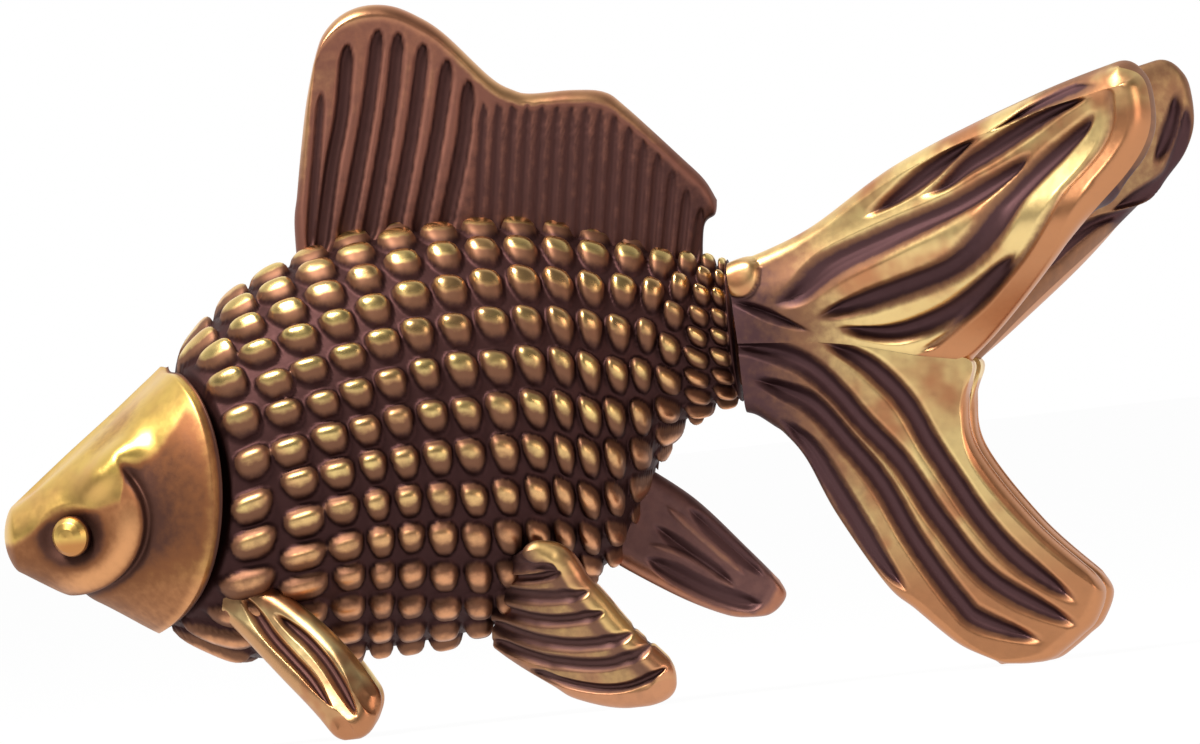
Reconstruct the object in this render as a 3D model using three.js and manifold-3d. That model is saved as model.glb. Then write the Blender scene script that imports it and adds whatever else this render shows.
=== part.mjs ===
// Cast brass goldfish standing on its fins, put together from separately moulded pieces.
// Millimetres. x runs from the nose to the tail, z up from the ground, and the fish's left side is -y.
import * as THREE from "three";
import { mergeVertices } from "three/addons/utils/BufferGeometryUtils.js";
import Module from "manifold-3d";

const wasm = await Module();
wasm.setup();

// Gap between pieces that seat on each other, and the finest detail kept along a cut
const CLEARANCE = 0.3;
const SLIVER = 0.006;

// Trunk: nose to the upright line where the tail begins
const BODY_LENGTH = 30.5;
const BODY_DEPTH = 17.9;
const BODY_WIDTH = 12.4;
const BELLY_HEIGHT = 2.85;

// Head: nose to the gill cover's rear edge, which sweeps forward at the crown and the throat
const HEAD_LENGTH = 9.1;
const GILL_SWEEP = 2.2;
const GILL_EDGE_ROUND = 0.3;
const NOSE_ROUND = 0.7;
const CHEEK_RADIUS = 3.1;
const CHEEK_LIFT = 0.525;
const CHEEK_STEP = 0.32;
const NECK_RADIUS = 2.4;
const NECK_LENGTH = 2.6;

// Eye bead in a ring socket
const EYE_PLACE = 0.3; // share of the head's length behind the nose
const EYE_LEVEL = 0.366; // share of the body's depth over the belly
const EYE_RADIUS = 0.75;
const EYE_DOME = 0.6;
const EYE_RING_WIDTH = 0.4;
const EYE_SOCKET_DEPTH = 0.4;
const EYE_STEM_RADIUS = 0.4;
const EYE_STEM_LENGTH = 1.2;

// Scale field: bead-like scales in upright columns that lean with the gill cover
const SCALE_COLUMNS = 16;
const SCALE_ROW_PITCH = 1.75;
const SCALE_HEIGHT = 0.6;
const SCALE_COLUMN_LEAN = 3.5;
const TAIL_SCALE_SHRINK = 0.35; // share by which the rows close up at the tail line

// Fins: thickness, how deep the grooves between the rays are cut into each face, and how deep a fin
// sits in its slot. Dorsal, pelvic and anal fins are placed by their gap to the tail line, and the
// pectoral fins root at the gill cover's edge. A rise is a root's height over the belly.
const FIN_THICKNESS = 1.3;
const FIN_RAY_DEPTH = 0.3;
const FIN_SEAT_DEPTH = 1.3;
const FIN_EDGE_BAND = 0.045; // share of the fin that its rounded edge takes up
const FIN_EDGE_HALF = 0.36; // half thickness there, as a share of the fin's thickness

const DORSAL_TAIL_GAP = 1.05;
const DORSAL_BASE = 16.4;
const DORSAL_HEIGHT = 8.85;
const DORSAL_SEAT_TAPER = 0.6;
const DORSAL_RAYS = 17;

const PECTORAL_LENGTH = 5.2;
const PECTORAL_RISE = 4.45;
const PECTORAL_SPLAY = 3.4;
const PECTORAL_RAYS = 3;

const PELVIC_TAIL_GAP = 10.8;
const PELVIC_LENGTH = 6.7;
const PELVIC_RISE = 4.05;
const PELVIC_SPLAY = 2.8;
const PELVIC_RAYS = 7;

const ANAL_TAIL_GAP = 4.6;
const ANAL_LENGTH = 6.6;
const ANAL_WIDTH = 3.8;
const ANAL_DROOP = 35;
const ANAL_RAYS = 3;

// Double tail: two upper and two lower lobes on a core blade, swung a few degrees to the fish's left
const TAIL_THICKNESS = 1.3;
const TAIL_RIM_THICKNESS = 1.9;
const TAIL_RAY_DEPTH = 0.42;
const TAIL_SWING = 7;
const TAIL_ROOT_OFFSET = 1.6;
const TAIL_CREST_OFFSET = 1.15;
const TAIL_SEAM_DROP = 0.55;
const TAIL_CORE_COVER = 0.85;
const TAIL_CORE_LENGTH = 7;
const TAIL_CORE_TENON = 2.6;
const UPPER_LOBE_LENGTH = 18.4;
const UPPER_LOBE_RISE = 9.4;
const UPPER_LOBE_SPLAY = 7;
const UPPER_LOBE_FLARE = 1.3; // power by which the splay grows outwards
const LOWER_LOBE_LENGTH = 13.8;
const LOWER_LOBE_CLOSING = 0.2;
const TAIL_RAYS = 5;

const swing = THREE.MathUtils.degToRad(TAIL_SWING);
const backTop = BELLY_HEIGHT + BODY_DEPTH;
const tailStart = BODY_LENGTH + CLEARANCE;
const dorsalStart = BODY_LENGTH - DORSAL_TAIL_GAP - DORSAL_BASE;
const pectoralTop = BELLY_HEIGHT + PECTORAL_RISE;
const pelvicStart = BODY_LENGTH - PELVIC_TAIL_GAP;
const pelvicTop = BELLY_HEIGHT + PELVIC_RISE;
const analStart = BODY_LENGTH - ANAL_TAIL_GAP;

// Smooth curve through [position, value] points, with each slope taken from the points either side.
function smoothCurve(points) {
  const last = points.length - 1;
  const slopes = points.map((point, i) => {
    const before = points[Math.max(i - 1, 0)];
    const after = points[Math.min(i + 1, last)];
    return (after[1] - before[1]) / (after[0] - before[0]);
  });
  return (position) => {
    const place = THREE.MathUtils.clamp(position, points[0][0], points[last][0]);
    const end = Math.max(1, points.findIndex((point) => point[0] >= place));
    const span = points[end][0] - points[end - 1][0];
    const t = (place - points[end - 1][0]) / span;
    const rise = t * t * (3 - 2 * t);
    const bend = t * (1 - t);
    return (
      points[end - 1][1] * (1 - rise) +
      points[end][1] * rise +
      span * bend * (slopes[end - 1] * (1 - t) - slopes[end] * t)
    );
  };
}

// Outline of the trunk as shares of its length, depth and half width
const backCurve = smoothCurve([
  [0, 0.43],
  [0.087, 0.567],
  [0.237, 0.74],
  [0.33, 0.88],
  [0.424, 0.958],
  [0.56, 1],
  [0.7, 0.99],
  [0.82, 0.941],
  [1, 0.841],
]);
const bellyCurve = smoothCurve([
  [0, 0.29],
  [0.087, 0.221],
  [0.237, 0.081],
  [0.3, 0.02],
  [0.38, 0],
  [0.54, 0.008],
  [0.66, 0.036],
  [0.76, 0.109],
  [0.815, 0.165],
  [0.865, 0.316],
  [0.914, 0.433],
  [1, 0.489],
]);
const widthCurve = smoothCurve([
  [0, 0.21],
  [0.087, 0.476],
  [0.237, 0.82],
  [0.33, 0.93],
  [0.47, 1],
  [0.62, 0.976],
  [0.76, 0.84],
  [0.865, 0.61],
  [1, 0.34],
]);

// Middle height, half depth and half width of the trunk at x, closing in a round nose.
function trunkSection(x) {
  const share = x / BODY_LENGTH;
  const nose = Math.sqrt(1 - (1 - Math.min(x / NOSE_ROUND, 1)) ** 2);
  const back = BELLY_HEIGHT + BODY_DEPTH * backCurve(share);
  const belly = BELLY_HEIGHT + BODY_DEPTH * bellyCurve(share);
  return {
    middle: (back + belly) / 2,
    depth: (nose * (back - belly)) / 2,
    width: (nose * BODY_WIDTH * widthCurve(share)) / 2,
  };
}

// Point on the trunk at x. The angle runs from the back (0) down the left flank to the belly (pi).
function trunkPoint(x, angle, offset) {
  const { middle, depth, width } = trunkSection(x);
  return new THREE.Vector3(
    x,
    -(width + offset) * Math.sin(angle),
    middle + (depth + offset) * Math.cos(angle),
  );
}

// Distance of the trunk's flank from the middle plane at x and height z.
function flankAt(x, z) {
  const { middle, depth, width } = trunkSection(x);
  const share = THREE.MathUtils.clamp((z - middle) / depth, -1, 1);
  return width * Math.sqrt(1 - share * share);
}

function gillEdge(angle) {
  return HEAD_LENGTH - GILL_SWEEP * Math.cos(angle) ** 2;
}

const neckFace = HEAD_LENGTH - GILL_SWEEP / 2;
const neckHeight = trunkSection(neckFace).middle;
const tailLine = trunkSection(BODY_LENGTH);
const tailSeamHeight = tailLine.middle - TAIL_SEAM_DROP;

// Closed mesh over rings of points. The first and last rings fold to a point or to a double line.
function closedSurface(rings) {
  const count = rings[0].length;
  const corners = [];
  for (let ring = 0; ring + 1 < rings.length; ring += 1) {
    for (let side = 0; side < count; side += 1) {
      const a = ring * count + side;
      const b = ring * count + ((side + 1) % count);
      corners.push(a, b, b + count, a, b + count, a + count);
    }
  }
  const points = rings.flat().flatMap((point) => point.toArray());
  const geometry = new THREE.BufferGeometry();
  geometry.setAttribute("position", new THREE.Float32BufferAttribute(points, 3));
  geometry.setIndex(corners);
  return facingOut(mergeVertices(geometry, 2e-3));
}

// The mesh without its folded triangles, turned so that its faces look outwards.
function facingOut(geometry) {
  const index = geometry.index.array;
  const position = geometry.attributes.position;
  const kept = [];
  let volume = 0;
  const [a, b, c] = [new THREE.Vector3(), new THREE.Vector3(), new THREE.Vector3()];
  for (let i = 0; i < index.length; i += 3) {
    const [ia, ib, ic] = index.slice(i, i + 3);
    if (ia === ib || ib === ic || ic === ia) continue;
    kept.push(ia, ib, ic);
    a.fromBufferAttribute(position, ia);
    b.fromBufferAttribute(position, ib);
    c.fromBufferAttribute(position, ic);
    volume += a.dot(b.cross(c));
  }
  geometry.setIndex(volume < 0 ? kept.reverse() : kept);
  return geometry;
}

function solid(geometry) {
  const bare = geometry.clone();
  bare.deleteAttribute("normal");
  bare.deleteAttribute("uv");
  const merged = facingOut(mergeVertices(bare, 1e-4));
  return new wasm.Manifold(
    new wasm.Mesh({
      numProp: 3,
      vertProperties: new Float32Array(merged.attributes.position.array),
      triVerts: new Uint32Array(merged.index.array),
    }),
  );
}

// The same closed mesh, swollen along its normals: the space that the piece needs in its seat.
function seatFor(geometry) {
  const grown = geometry.clone();
  grown.computeVertexNormals();
  const { position, normal } = grown.attributes;
  const corner = new THREE.Vector3();
  const outward = new THREE.Vector3();
  for (let i = 0; i < position.count; i += 1) {
    outward.fromBufferAttribute(normal, i);
    corner.fromBufferAttribute(position, i).addScaledVector(outward, CLEARANCE * Math.SQRT2);
    position.setXYZ(i, corner.x, corner.y, corner.z);
  }
  return solid(grown);
}

// A paired fin's seat, open to its side so that no thin wall is left over the root.
function sideSeatFor(geometry) {
  const seat = seatFor(geometry);
  geometry.computeBoundingBox();
  const side = Math.sign(geometry.boundingBox.min.y + geometry.boundingBox.max.y);
  return seat.add(seat.translate([0, side * SCALE_HEIGHT, 0]));
}

// Turns a tail piece about the upright line where the tail begins.
function swung(geometry) {
  return geometry.clone().translate(-BODY_LENGTH, 0, 0).rotateZ(-swing).translate(BODY_LENGTH, 0, 0);
}

function mirrored(geometry) {
  return facingOut(geometry.clone().scale(1, -1, 1));
}

// The largest of the separate bodies that a cut leaves, without the slivers along the cut.
function mainBody(cut) {
  const bodies = cut.simplify(SLIVER).decompose();
  return bodies.reduce((best, body) => (body.volume() > best.volume() ? body : best));
}

function rodAlongX(radius, from, to, z) {
  return new THREE.CylinderGeometry(radius, radius, to - from, 24)
    .rotateZ(Math.PI / 2)
    .translate((from + to) / 2, 0, z);
}

const smooth = THREE.MathUtils.smoothstep;

// Head: a smooth loft with a raised cheek round the eye and a rounded gill cover edge
const HEAD_STATIONS = 18;
const HEAD_SIDES = 36;
const eyeX = EYE_PLACE * HEAD_LENGTH;
const eyeZ = BELLY_HEIGHT + EYE_LEVEL * BODY_DEPTH;
const cheekZ = eyeZ + CHEEK_LIFT;

// Height of the head's surface against the plain loft: the gill plate drops behind the cheek's crease.
function cheekRelief(point) {
  const across = point.x - eyeX;
  const up = point.z - cheekZ;
  const beyond = Math.hypot(across, up) - CHEEK_RADIUS;
  const bearing = THREE.MathUtils.radToDeg(Math.atan2(up, across));
  const reach = smooth(bearing, -130, -95) * (1 - smooth(bearing, 30, 60));
  const drop = smooth(beyond, -0.2, 0.3) * (1 - smooth(beyond, 0.3, 3));
  return -CHEEK_STEP * reach * drop;
}

function headRing(share) {
  const ring = [];
  for (let side = 0; side < HEAD_SIDES; side += 1) {
    const angle = (2 * Math.PI * side) / HEAD_SIDES;
    const x = share * gillEdge(angle);
    const plain = trunkPoint(x, angle, 0);
    const edge = -GILL_EDGE_ROUND * smooth(share, 0.95, 1);
    ring.push(trunkPoint(x, angle, x > 0 ? cheekRelief(plain) + edge : 0));
  }
  return ring;
}

function headMesh() {
  const rings = [];
  for (let station = 0; station < HEAD_STATIONS; station += 1) {
    rings.push(headRing(0.96 * (station / (HEAD_STATIONS - 1)) ** 1.25));
  }
  rings.push(headRing(1));
  const rear = new THREE.Vector3(neckFace, 0, neckHeight);
  rings.push(Array(HEAD_SIDES).fill(rear));
  return closedSurface(rings);
}

// Body: the trunk behind the gill cover, with its scales standing up from the grooves between them.
// Columns lean most two thirds of the way back, where share squared times (1 - share) peaks at 4/27.
const STATIONS_IN_COLUMN = [0, 0.3, 0.7];
const LEAN_TO_ONE = 27 / 4;

function columnX(share, angle) {
  const gill = gillEdge(angle) + CLEARANCE;
  const lowness = (1 - Math.cos(angle)) / 2;
  const lean = SCALE_COLUMN_LEAN * LEAN_TO_ONE * share * share * (1 - share) * lowness;
  return THREE.MathUtils.lerp(gill, BODY_LENGTH, share) - lean;
}

// The angles at which the rows of scales cross one column, measured round the flank from the back.
function rowAngles(share, halfRows) {
  const steps = 90;
  const pitch = SCALE_ROW_PITCH * (1 - TAIL_SCALE_SHRINK * smooth(share, 0.75, 1));
  const girth = [0];
  let previous = trunkPoint(columnX(share, 0), 0, -SCALE_HEIGHT);
  for (let step = 1; step <= steps; step += 1) {
    const angle = (Math.PI * step) / steps;
    const point = trunkPoint(columnX(share, angle), angle, -SCALE_HEIGHT);
    girth.push(girth[step - 1] + point.distanceTo(previous));
    previous = point;
  }
  const angles = [];
  for (let row = 0; row <= halfRows; row += 1) {
    const target = (row * pitch) / 2;
    const end = girth.findIndex((length) => length > target);
    const nearBelly = girth[steps] - target < pitch / 6;
    if (end < 0 || nearBelly) {
      angles.push(Math.PI);
    } else {
      const part = (target - girth[end - 1]) / (girth[end] - girth[end - 1]);
      angles.push((Math.PI * (end - 1 + part)) / steps);
    }
  }
  return angles;
}

// One column's ring: down the left flank and up the right, high on the scales and low between them.
function bodyRing(column, halfRows) {
  const share = column / SCALE_COLUMNS;
  const across = Math.sqrt(Math.abs(Math.sin(Math.PI * column)));
  const left = rowAngles(share, halfRows).map((angle, row) => {
    const onScale = row % 2 === 1 && angle < Math.PI;
    const offset = onScale ? SCALE_HEIGHT * (across - 1) : -SCALE_HEIGHT;
    return trunkPoint(columnX(share, angle), angle, offset);
  });
  const right = left.slice(1, -1).map((point) => new THREE.Vector3(point.x, -point.y, point.z));
  const ring = left.concat(right.reverse());
  for (const point of ring) point.x += point.y * Math.tan(swing) * share ** 4;
  return ring;
}

function bodyMesh() {
  const halfRows = 2 * Math.ceil((0.5 * Math.PI * (BODY_DEPTH + BODY_WIDTH)) / 2 / SCALE_ROW_PITCH + 1);
  const rings = [];
  for (let column = 0; column < SCALE_COLUMNS; column += 1) {
    for (const part of STATIONS_IN_COLUMN) rings.push(bodyRing(column + part, halfRows));
  }
  rings.push(bodyRing(SCALE_COLUMNS, halfRows));
  const count = rings[0].length;
  const front = new THREE.Vector3(neckFace + CLEARANCE, 0, neckHeight);
  const rear = new THREE.Vector3(BODY_LENGTH, 0, trunkSection(BODY_LENGTH).middle);
  return closedSurface([Array(count).fill(front), ...rings, Array(count).fill(rear)]);
}

// Fins: a patch between four edge curves (root, rim, front, back), given thickness across the figure.
// The rays run from root to rim as ridges, and they fade before the plain band along the rim.
function finMesh({ root, rim, front, back, outward, thickness, rayDepth, rays, steps }) {
  const [rootThickness, rimThickness] = thickness;
  const [rootEdge, rimEdge, frontEdge, backEdge] = [root, rim, front, back].map(
    (points) => new THREE.SplineCurve(points.map(([x, z]) => new THREE.Vector2(x, z))),
  );
  const corner = (u, s) => (u < 0.5 ? rootEdge : rimEdge).getPointAt(s);
  const patch = (u, s) => {
    const point = new THREE.Vector2();
    point.addScaledVector(rootEdge.getPointAt(s), 1 - u);
    point.addScaledVector(rimEdge.getPointAt(s), u);
    point.addScaledVector(frontEdge.getPointAt(u), 1 - s);
    point.addScaledVector(backEdge.getPointAt(u), s);
    point.addScaledVector(corner(0, 0), -(1 - u) * (1 - s));
    point.addScaledVector(corner(0, 1), -(1 - u) * s);
    point.addScaledVector(corner(1, 0), -u * (1 - s));
    point.addScaledVector(corner(1, 1), -u * s);
    return point;
  };
  const halfAt = (u, s) => {
    if (u === 0 || u === 1 || s === 0 || s === 1) return 0;
    const groove = (1 - Math.cos(2 * Math.PI * rays * s)) / 2;
    const onEdge = Math.min(1 - u, s, 1 - s) < FIN_EDGE_BAND;
    const fade = 1 - smooth(u, 0.8, 0.95);
    const full = THREE.MathUtils.lerp(rootThickness, rimThickness, u);
    return full * (onEdge ? FIN_EDGE_HALF : 0.5) - rayDepth * groove * fade;
  };
  const across = [0, 0.03];
  for (let half = 1; half < 2 * rays; half += 1) across.push(half / (2 * rays));
  across.push(0.97, 1);
  const along = [0, 0.01];
  for (let step = 1; step < steps; step += 1) along.push(step / steps);
  along.push(0.96, 1);
  const rings = along.map((u) => {
    const faces = across.map((s) => {
      const { x, y: z } = patch(u, s);
      const away = outward(u, s);
      const half = halfAt(u, s);
      return [new THREE.Vector3(x, -away - half, z), new THREE.Vector3(x, half - away, z)];
    });
    const outer = faces.map((pair) => pair[0]);
    const inner = faces.slice(1, -1).map((pair) => pair[1]);
    return outer.concat(inner.reverse());
  });
  return closedSurface(rings);
}

// Places outline points given as shares: x from a start over a length, z from a base over a height.
function placed(startX, length, baseZ, height, points) {
  return points.map(([x, z]) => [startX + length * x, baseZ + height * z]);
}

function dorsalMesh() {
  const outline = (points) => placed(dorsalStart, DORSAL_BASE, backTop, DORSAL_HEIGHT, points);
  const seat = (share) => {
    const x = dorsalStart + DORSAL_BASE * share;
    const depth = SCALE_HEIGHT + FIN_SEAT_DEPTH * (1 - DORSAL_SEAT_TAPER * share);
    return [x, BELLY_HEIGHT + BODY_DEPTH * backCurve(x / BODY_LENGTH) - depth];
  };
  const rim = outline([
    [0.093, 0.79],
    [0.183, 0.972],
    [0.262, 1],
    [0.338, 0.96],
    [0.446, 0.78],
    [0.578, 0.531],
    [0.698, 0.52],
    [0.793, 0.48],
    [0.925, 0.249],
    [1.049, -0.07],
  ]);
  return finMesh({
    root: [0, 0.25, 0.5, 0.75, 1].map(seat),
    rim,
    front: [seat(0), ...outline([[0.03, 0.3]]), rim[0]],
    back: [seat(1), rim.at(-1)],
    outward: () => 0,
    thickness: [FIN_THICKNESS, FIN_THICKNESS],
    rayDepth: FIN_RAY_DEPTH,
    rays: DORSAL_RAYS,
    steps: 5,
  });
}

function pectoralMesh() {
  const outline = (points) => placed(HEAD_LENGTH, PECTORAL_LENGTH, 0, pectoralTop, points);
  const [rootTop, rootFoot, tipTop, tipFoot] = outline([
    [0, 1],
    [-0.06, 0.72],
    [0.98, 0.23],
    [0.65, 0.03],
  ]);
  const rootAway = flankAt(...rootTop) - SCALE_HEIGHT - FIN_SEAT_DEPTH;
  return finMesh({
    root: [rootTop, rootFoot],
    rim: [tipTop, ...outline([[1, 0.08], [0.87, -0.05]]), tipFoot],
    front: [rootTop, ...outline([[0.4, 0.84], [0.8, 0.53]]), tipTop],
    back: [rootFoot, ...outline([[0.32, 0.36]]), tipFoot],
    outward: (u) => rootAway + PECTORAL_SPLAY * u,
    thickness: [FIN_THICKNESS, FIN_THICKNESS],
    rayDepth: FIN_RAY_DEPTH,
    rays: PECTORAL_RAYS,
    steps: 7,
  });
}

function pelvicMesh() {
  const outline = (points) => placed(pelvicStart, PELVIC_LENGTH, 0, pelvicTop, points);
  const [rootTop, rootFoot, tipTop, tipFoot] = outline([
    [0.05, 0.95],
    [0, 0.42],
    [0.5, 0.96],
    [0.92, -0.04],
  ]);
  const topAway = flankAt(...rootTop) - SCALE_HEIGHT - FIN_SEAT_DEPTH;
  const footAway = flankAt(rootFoot[0], rootFoot[1] + 1) - SCALE_HEIGHT - FIN_SEAT_DEPTH / 2;
  return finMesh({
    root: [rootTop, rootFoot],
    rim: [tipTop, ...outline([[0.56, 0.8], [0.74, 0.5], [0.95, 0.29], [1, 0.17]]), tipFoot],
    front: [rootTop, ...outline([[0.27, 1.01]]), tipTop],
    back: [rootFoot, ...outline([[0.22, 0.22], [0.54, 0.0]]), tipFoot],
    outward: (u, s) => {
      const rootAway = THREE.MathUtils.lerp(topAway, footAway, s);
      return THREE.MathUtils.lerp(rootAway, topAway + PELVIC_SPLAY, u);
    },
    thickness: [FIN_THICKNESS, FIN_THICKNESS],
    rayDepth: FIN_RAY_DEPTH,
    rays: PELVIC_RAYS,
    steps: 6,
  });
}

function analMesh() {
  const droop = THREE.MathUtils.degToRad(ANAL_DROOP);
  const rootZ = BELLY_HEIGHT + BODY_DEPTH * bellyCurve(analStart / BODY_LENGTH);
  const outline = (points) =>
    points.map(([along, across]) => [
      analStart + along * ANAL_LENGTH * Math.cos(droop) + across * ANAL_WIDTH * Math.sin(droop),
      rootZ - along * ANAL_LENGTH * Math.sin(droop) + across * ANAL_WIDTH * Math.cos(droop),
    ]);
  const [rootTop, rootFoot, tipTop, tipFoot] = outline([
    [-0.2, 0.5],
    [-0.2, -0.42],
    [0.889, 0.16],
    [0.866, -0.337],
  ]);
  return finMesh({
    root: [rootTop, rootFoot],
    rim: [tipTop, ...outline([[0.99, 0.03], [0.98, -0.145]]), tipFoot],
    front: [rootTop, ...outline([[0.23, 0.445], [0.577, 0.305]]), tipTop],
    back: [rootFoot, ...outline([[0.35, -0.5]]), tipFoot],
    outward: () => 0,
    thickness: [FIN_THICKNESS, FIN_THICKNESS],
    rayDepth: FIN_RAY_DEPTH,
    rays: ANAL_RAYS,
    steps: 5,
  });
}

// The seam between an upper and a lower lobe, from the tail's root to the notch behind it.
// It slopes, so its upright gap is a little wider than the clearance.
const seamHalfGap = 0.7 * CLEARANCE;

function tailSeam(drop) {
  return [
    [0, 0],
    [0.21, -0.4],
    [0.4, -1.3],
    [0.51, -1.7],
  ].map(([share, z]) => [tailStart + UPPER_LOBE_LENGTH * share, tailSeamHeight + z - drop]);
}

function upperLobeMesh() {
  const outline = (points) =>
    placed(tailStart, UPPER_LOBE_LENGTH, tailSeamHeight, UPPER_LOBE_RISE, points);
  const seam = tailSeam(-seamHalfGap);
  const [rootTop, tipTop] = outline([
    [0, 0.34],
    [0.94, 1],
  ]);
  const rim = outline([
    [1, 0.883],
    [0.995, 0.72],
    [0.945, 0.564],
    [0.825, 0.351],
    [0.64, 0.043],
  ]);
  return finMesh({
    root: [rootTop, seam[0]],
    rim: [tipTop, ...rim, seam.at(-1)],
    front: [rootTop, ...outline([[0.18, 0.457], [0.41, 0.7], [0.72, 0.904]]), tipTop],
    back: seam,
    outward: (u, s) => {
      const rootAway = THREE.MathUtils.lerp(TAIL_CREST_OFFSET, TAIL_ROOT_OFFSET, s);
      return rootAway + UPPER_LOBE_SPLAY * u ** UPPER_LOBE_FLARE * smooth(1 - s, 0.05, 0.5);
    },
    thickness: [TAIL_THICKNESS, TAIL_RIM_THICKNESS],
    rayDepth: TAIL_RAY_DEPTH,
    rays: TAIL_RAYS,
    steps: 9,
  });
}

function lowerLobeMesh() {
  const outline = (points) => placed(tailStart, LOWER_LOBE_LENGTH, 0, tailSeamHeight, points);
  const seam = tailSeam(seamHalfGap);
  const [rootFoot, tipTop, tipFoot] = outline([
    [0, 0.83],
    [0.971, 0.239],
    [0.662, -0.025],
  ]);
  const notchSide = outline([
    [0.66, 0.78],
    [0.669, 0.634],
    [0.813, 0.408],
  ]);
  return finMesh({
    root: [seam[0], rootFoot],
    rim: [tipTop, ...outline([[1, 0.18], [0.928, 0.063], [0.827, -0.025]]), tipFoot],
    front: [...seam.slice(0, 3), ...notchSide, tipTop],
    back: [
      rootFoot,
      ...outline([[0.13, 0.697], [0.23, 0.486], [0.353, 0.254], [0.568, 0.049]]),
      tipFoot,
    ],
    outward: (u) => TAIL_ROOT_OFFSET - LOWER_LOBE_CLOSING * u,
    thickness: [TAIL_THICKNESS, TAIL_RIM_THICKNESS],
    rayDepth: TAIL_RAY_DEPTH,
    rays: TAIL_RAYS,
    steps: 10,
  });
}

// Tail root: a flat core blade between the lobes, running forward as a tenon into the body.
function tailRootMesh() {
  const sides = 14;
  const stations = 9;
  const halfWidth = TAIL_ROOT_OFFSET - TAIL_THICKNESS / 2 - CLEARANCE;
  const rootHalf = tailLine.depth - SCALE_HEIGHT - TAIL_CORE_COVER;
  const rings = [];
  for (let station = 0; station <= stations; station += 1) {
    const share = station / stations;
    const x = BODY_LENGTH - TAIL_CORE_TENON + (TAIL_CORE_LENGTH + TAIL_CORE_TENON) * share;
    const ends = Math.sqrt(1 - Math.abs(2 * share - 1) ** 6);
    const half = rootHalf * ends * (1 - 0.5 * share);
    const middle = tailSeamHeight - 0.8 * share;
    const ring = [];
    for (let side = 0; side < sides; side += 1) {
      const angle = (2 * Math.PI * side) / sides;
      ring.push(
        new THREE.Vector3(x, -halfWidth * ends * Math.sin(angle), middle + half * Math.cos(angle)),
      );
    }
    rings.push(ring);
  }
  return closedSurface(rings);
}

// Eye: a domed bead on a stem, set square to the head's surface
const eyeNormal = (() => {
  const step = 0.05;
  const here = new THREE.Vector3(eyeX, -flankAt(eyeX, eyeZ), eyeZ);
  const along = new THREE.Vector3(eyeX + step, -flankAt(eyeX + step, eyeZ), eyeZ).sub(here);
  const up = new THREE.Vector3(eyeX, -flankAt(eyeX, eyeZ + step), eyeZ + step).sub(here);
  return { here, outward: along.cross(up).normalize() };
})();

function turnedAtEye(profile) {
  const points = profile.map(([radius, height]) => new THREE.Vector2(radius, height));
  const turn = new THREE.Quaternion().setFromUnitVectors(
    new THREE.Vector3(0, 1, 0),
    eyeNormal.outward,
  );
  const { x, y, z } = eyeNormal.here;
  return new THREE.LatheGeometry(points, 16).applyQuaternion(turn).translate(x, y, z);
}

const eyeSeat = CLEARANCE - EYE_SOCKET_DEPTH;
const eyeMesh = turnedAtEye([
  [0, eyeSeat - EYE_STEM_LENGTH],
  [EYE_STEM_RADIUS, eyeSeat - EYE_STEM_LENGTH],
  [EYE_STEM_RADIUS, eyeSeat],
  [EYE_RADIUS, eyeSeat],
  [EYE_RADIUS, eyeSeat + 0.3 * EYE_DOME],
  [EYE_RADIUS * 0.83, eyeSeat + 0.65 * EYE_DOME],
  [EYE_RADIUS * 0.47, eyeSeat + 0.92 * EYE_DOME],
  [0, eyeSeat + EYE_DOME],
]);
const eyeSocket = turnedAtEye([
  [0, eyeSeat - EYE_STEM_LENGTH - CLEARANCE],
  [EYE_STEM_RADIUS + CLEARANCE, eyeSeat - EYE_STEM_LENGTH - CLEARANCE],
  [EYE_STEM_RADIUS + CLEARANCE, -EYE_SOCKET_DEPTH],
  [EYE_RADIUS + EYE_RING_WIDTH, -EYE_SOCKET_DEPTH],
  [EYE_RADIUS + EYE_RING_WIDTH, EYE_DOME],
  [0, EYE_DOME],
]);

// Ground: the feet are ground flat where they would reach below it.
const groundReach = 4 * BODY_LENGTH;
const ground = solid(
  new THREE.BoxGeometry(groundReach, groundReach, BODY_DEPTH).translate(0, 0, -BODY_DEPTH / 2),
);

const dorsal = dorsalMesh();
const anal = analMesh();
const tailRoot = swung(tailRootMesh());
const pairedFins = {
  left_pectoral_fin: pectoralMesh(),
  right_pectoral_fin: mirrored(pectoralMesh()),
  left_pelvic_fin: pelvicMesh(),
  right_pelvic_fin: mirrored(pelvicMesh()),
};
const tailLobes = {
  left_upper_tail_lobe: swung(upperLobeMesh()),
  right_upper_tail_lobe: swung(mirrored(upperLobeMesh())),
  left_lower_tail_lobe: swung(lowerLobeMesh()),
  right_lower_tail_lobe: swung(mirrored(lowerLobeMesh())),
};

const neck = rodAlongX(NECK_RADIUS, neckFace - NECK_LENGTH, neckFace + NECK_LENGTH, neckHeight);
const neckSocket = rodAlongX(
  NECK_RADIUS + CLEARANCE,
  neckFace - NECK_LENGTH - CLEARANCE,
  neckFace + NECK_LENGTH,
  neckHeight,
);

const seats = [dorsal, anal, tailRoot]
  .map(seatFor)
  .concat(Object.values(pairedFins).map(sideSeatFor));

let body = solid(bodyMesh()).add(solid(neck));
let head = solid(headMesh()).subtract(solid(neckSocket));
for (const eye of [eyeSocket, mirrored(eyeSocket)]) head = head.subtract(solid(eye));
for (const seat of seats) {
  body = body.subtract(seat);
  head = head.subtract(seat);
}

const pieces = {
  body: mainBody(body),
  head: mainBody(head),
  left_eye: solid(eyeMesh),
  right_eye: solid(mirrored(eyeMesh)),
  dorsal_fin: solid(dorsal),
  anal_fin: solid(anal),
  tail_root: solid(tailRoot),
};
for (const [name, geometry] of Object.entries({ ...pairedFins, ...tailLobes })) {
  pieces[name] = mainBody(solid(geometry).subtract(ground));
}

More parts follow.
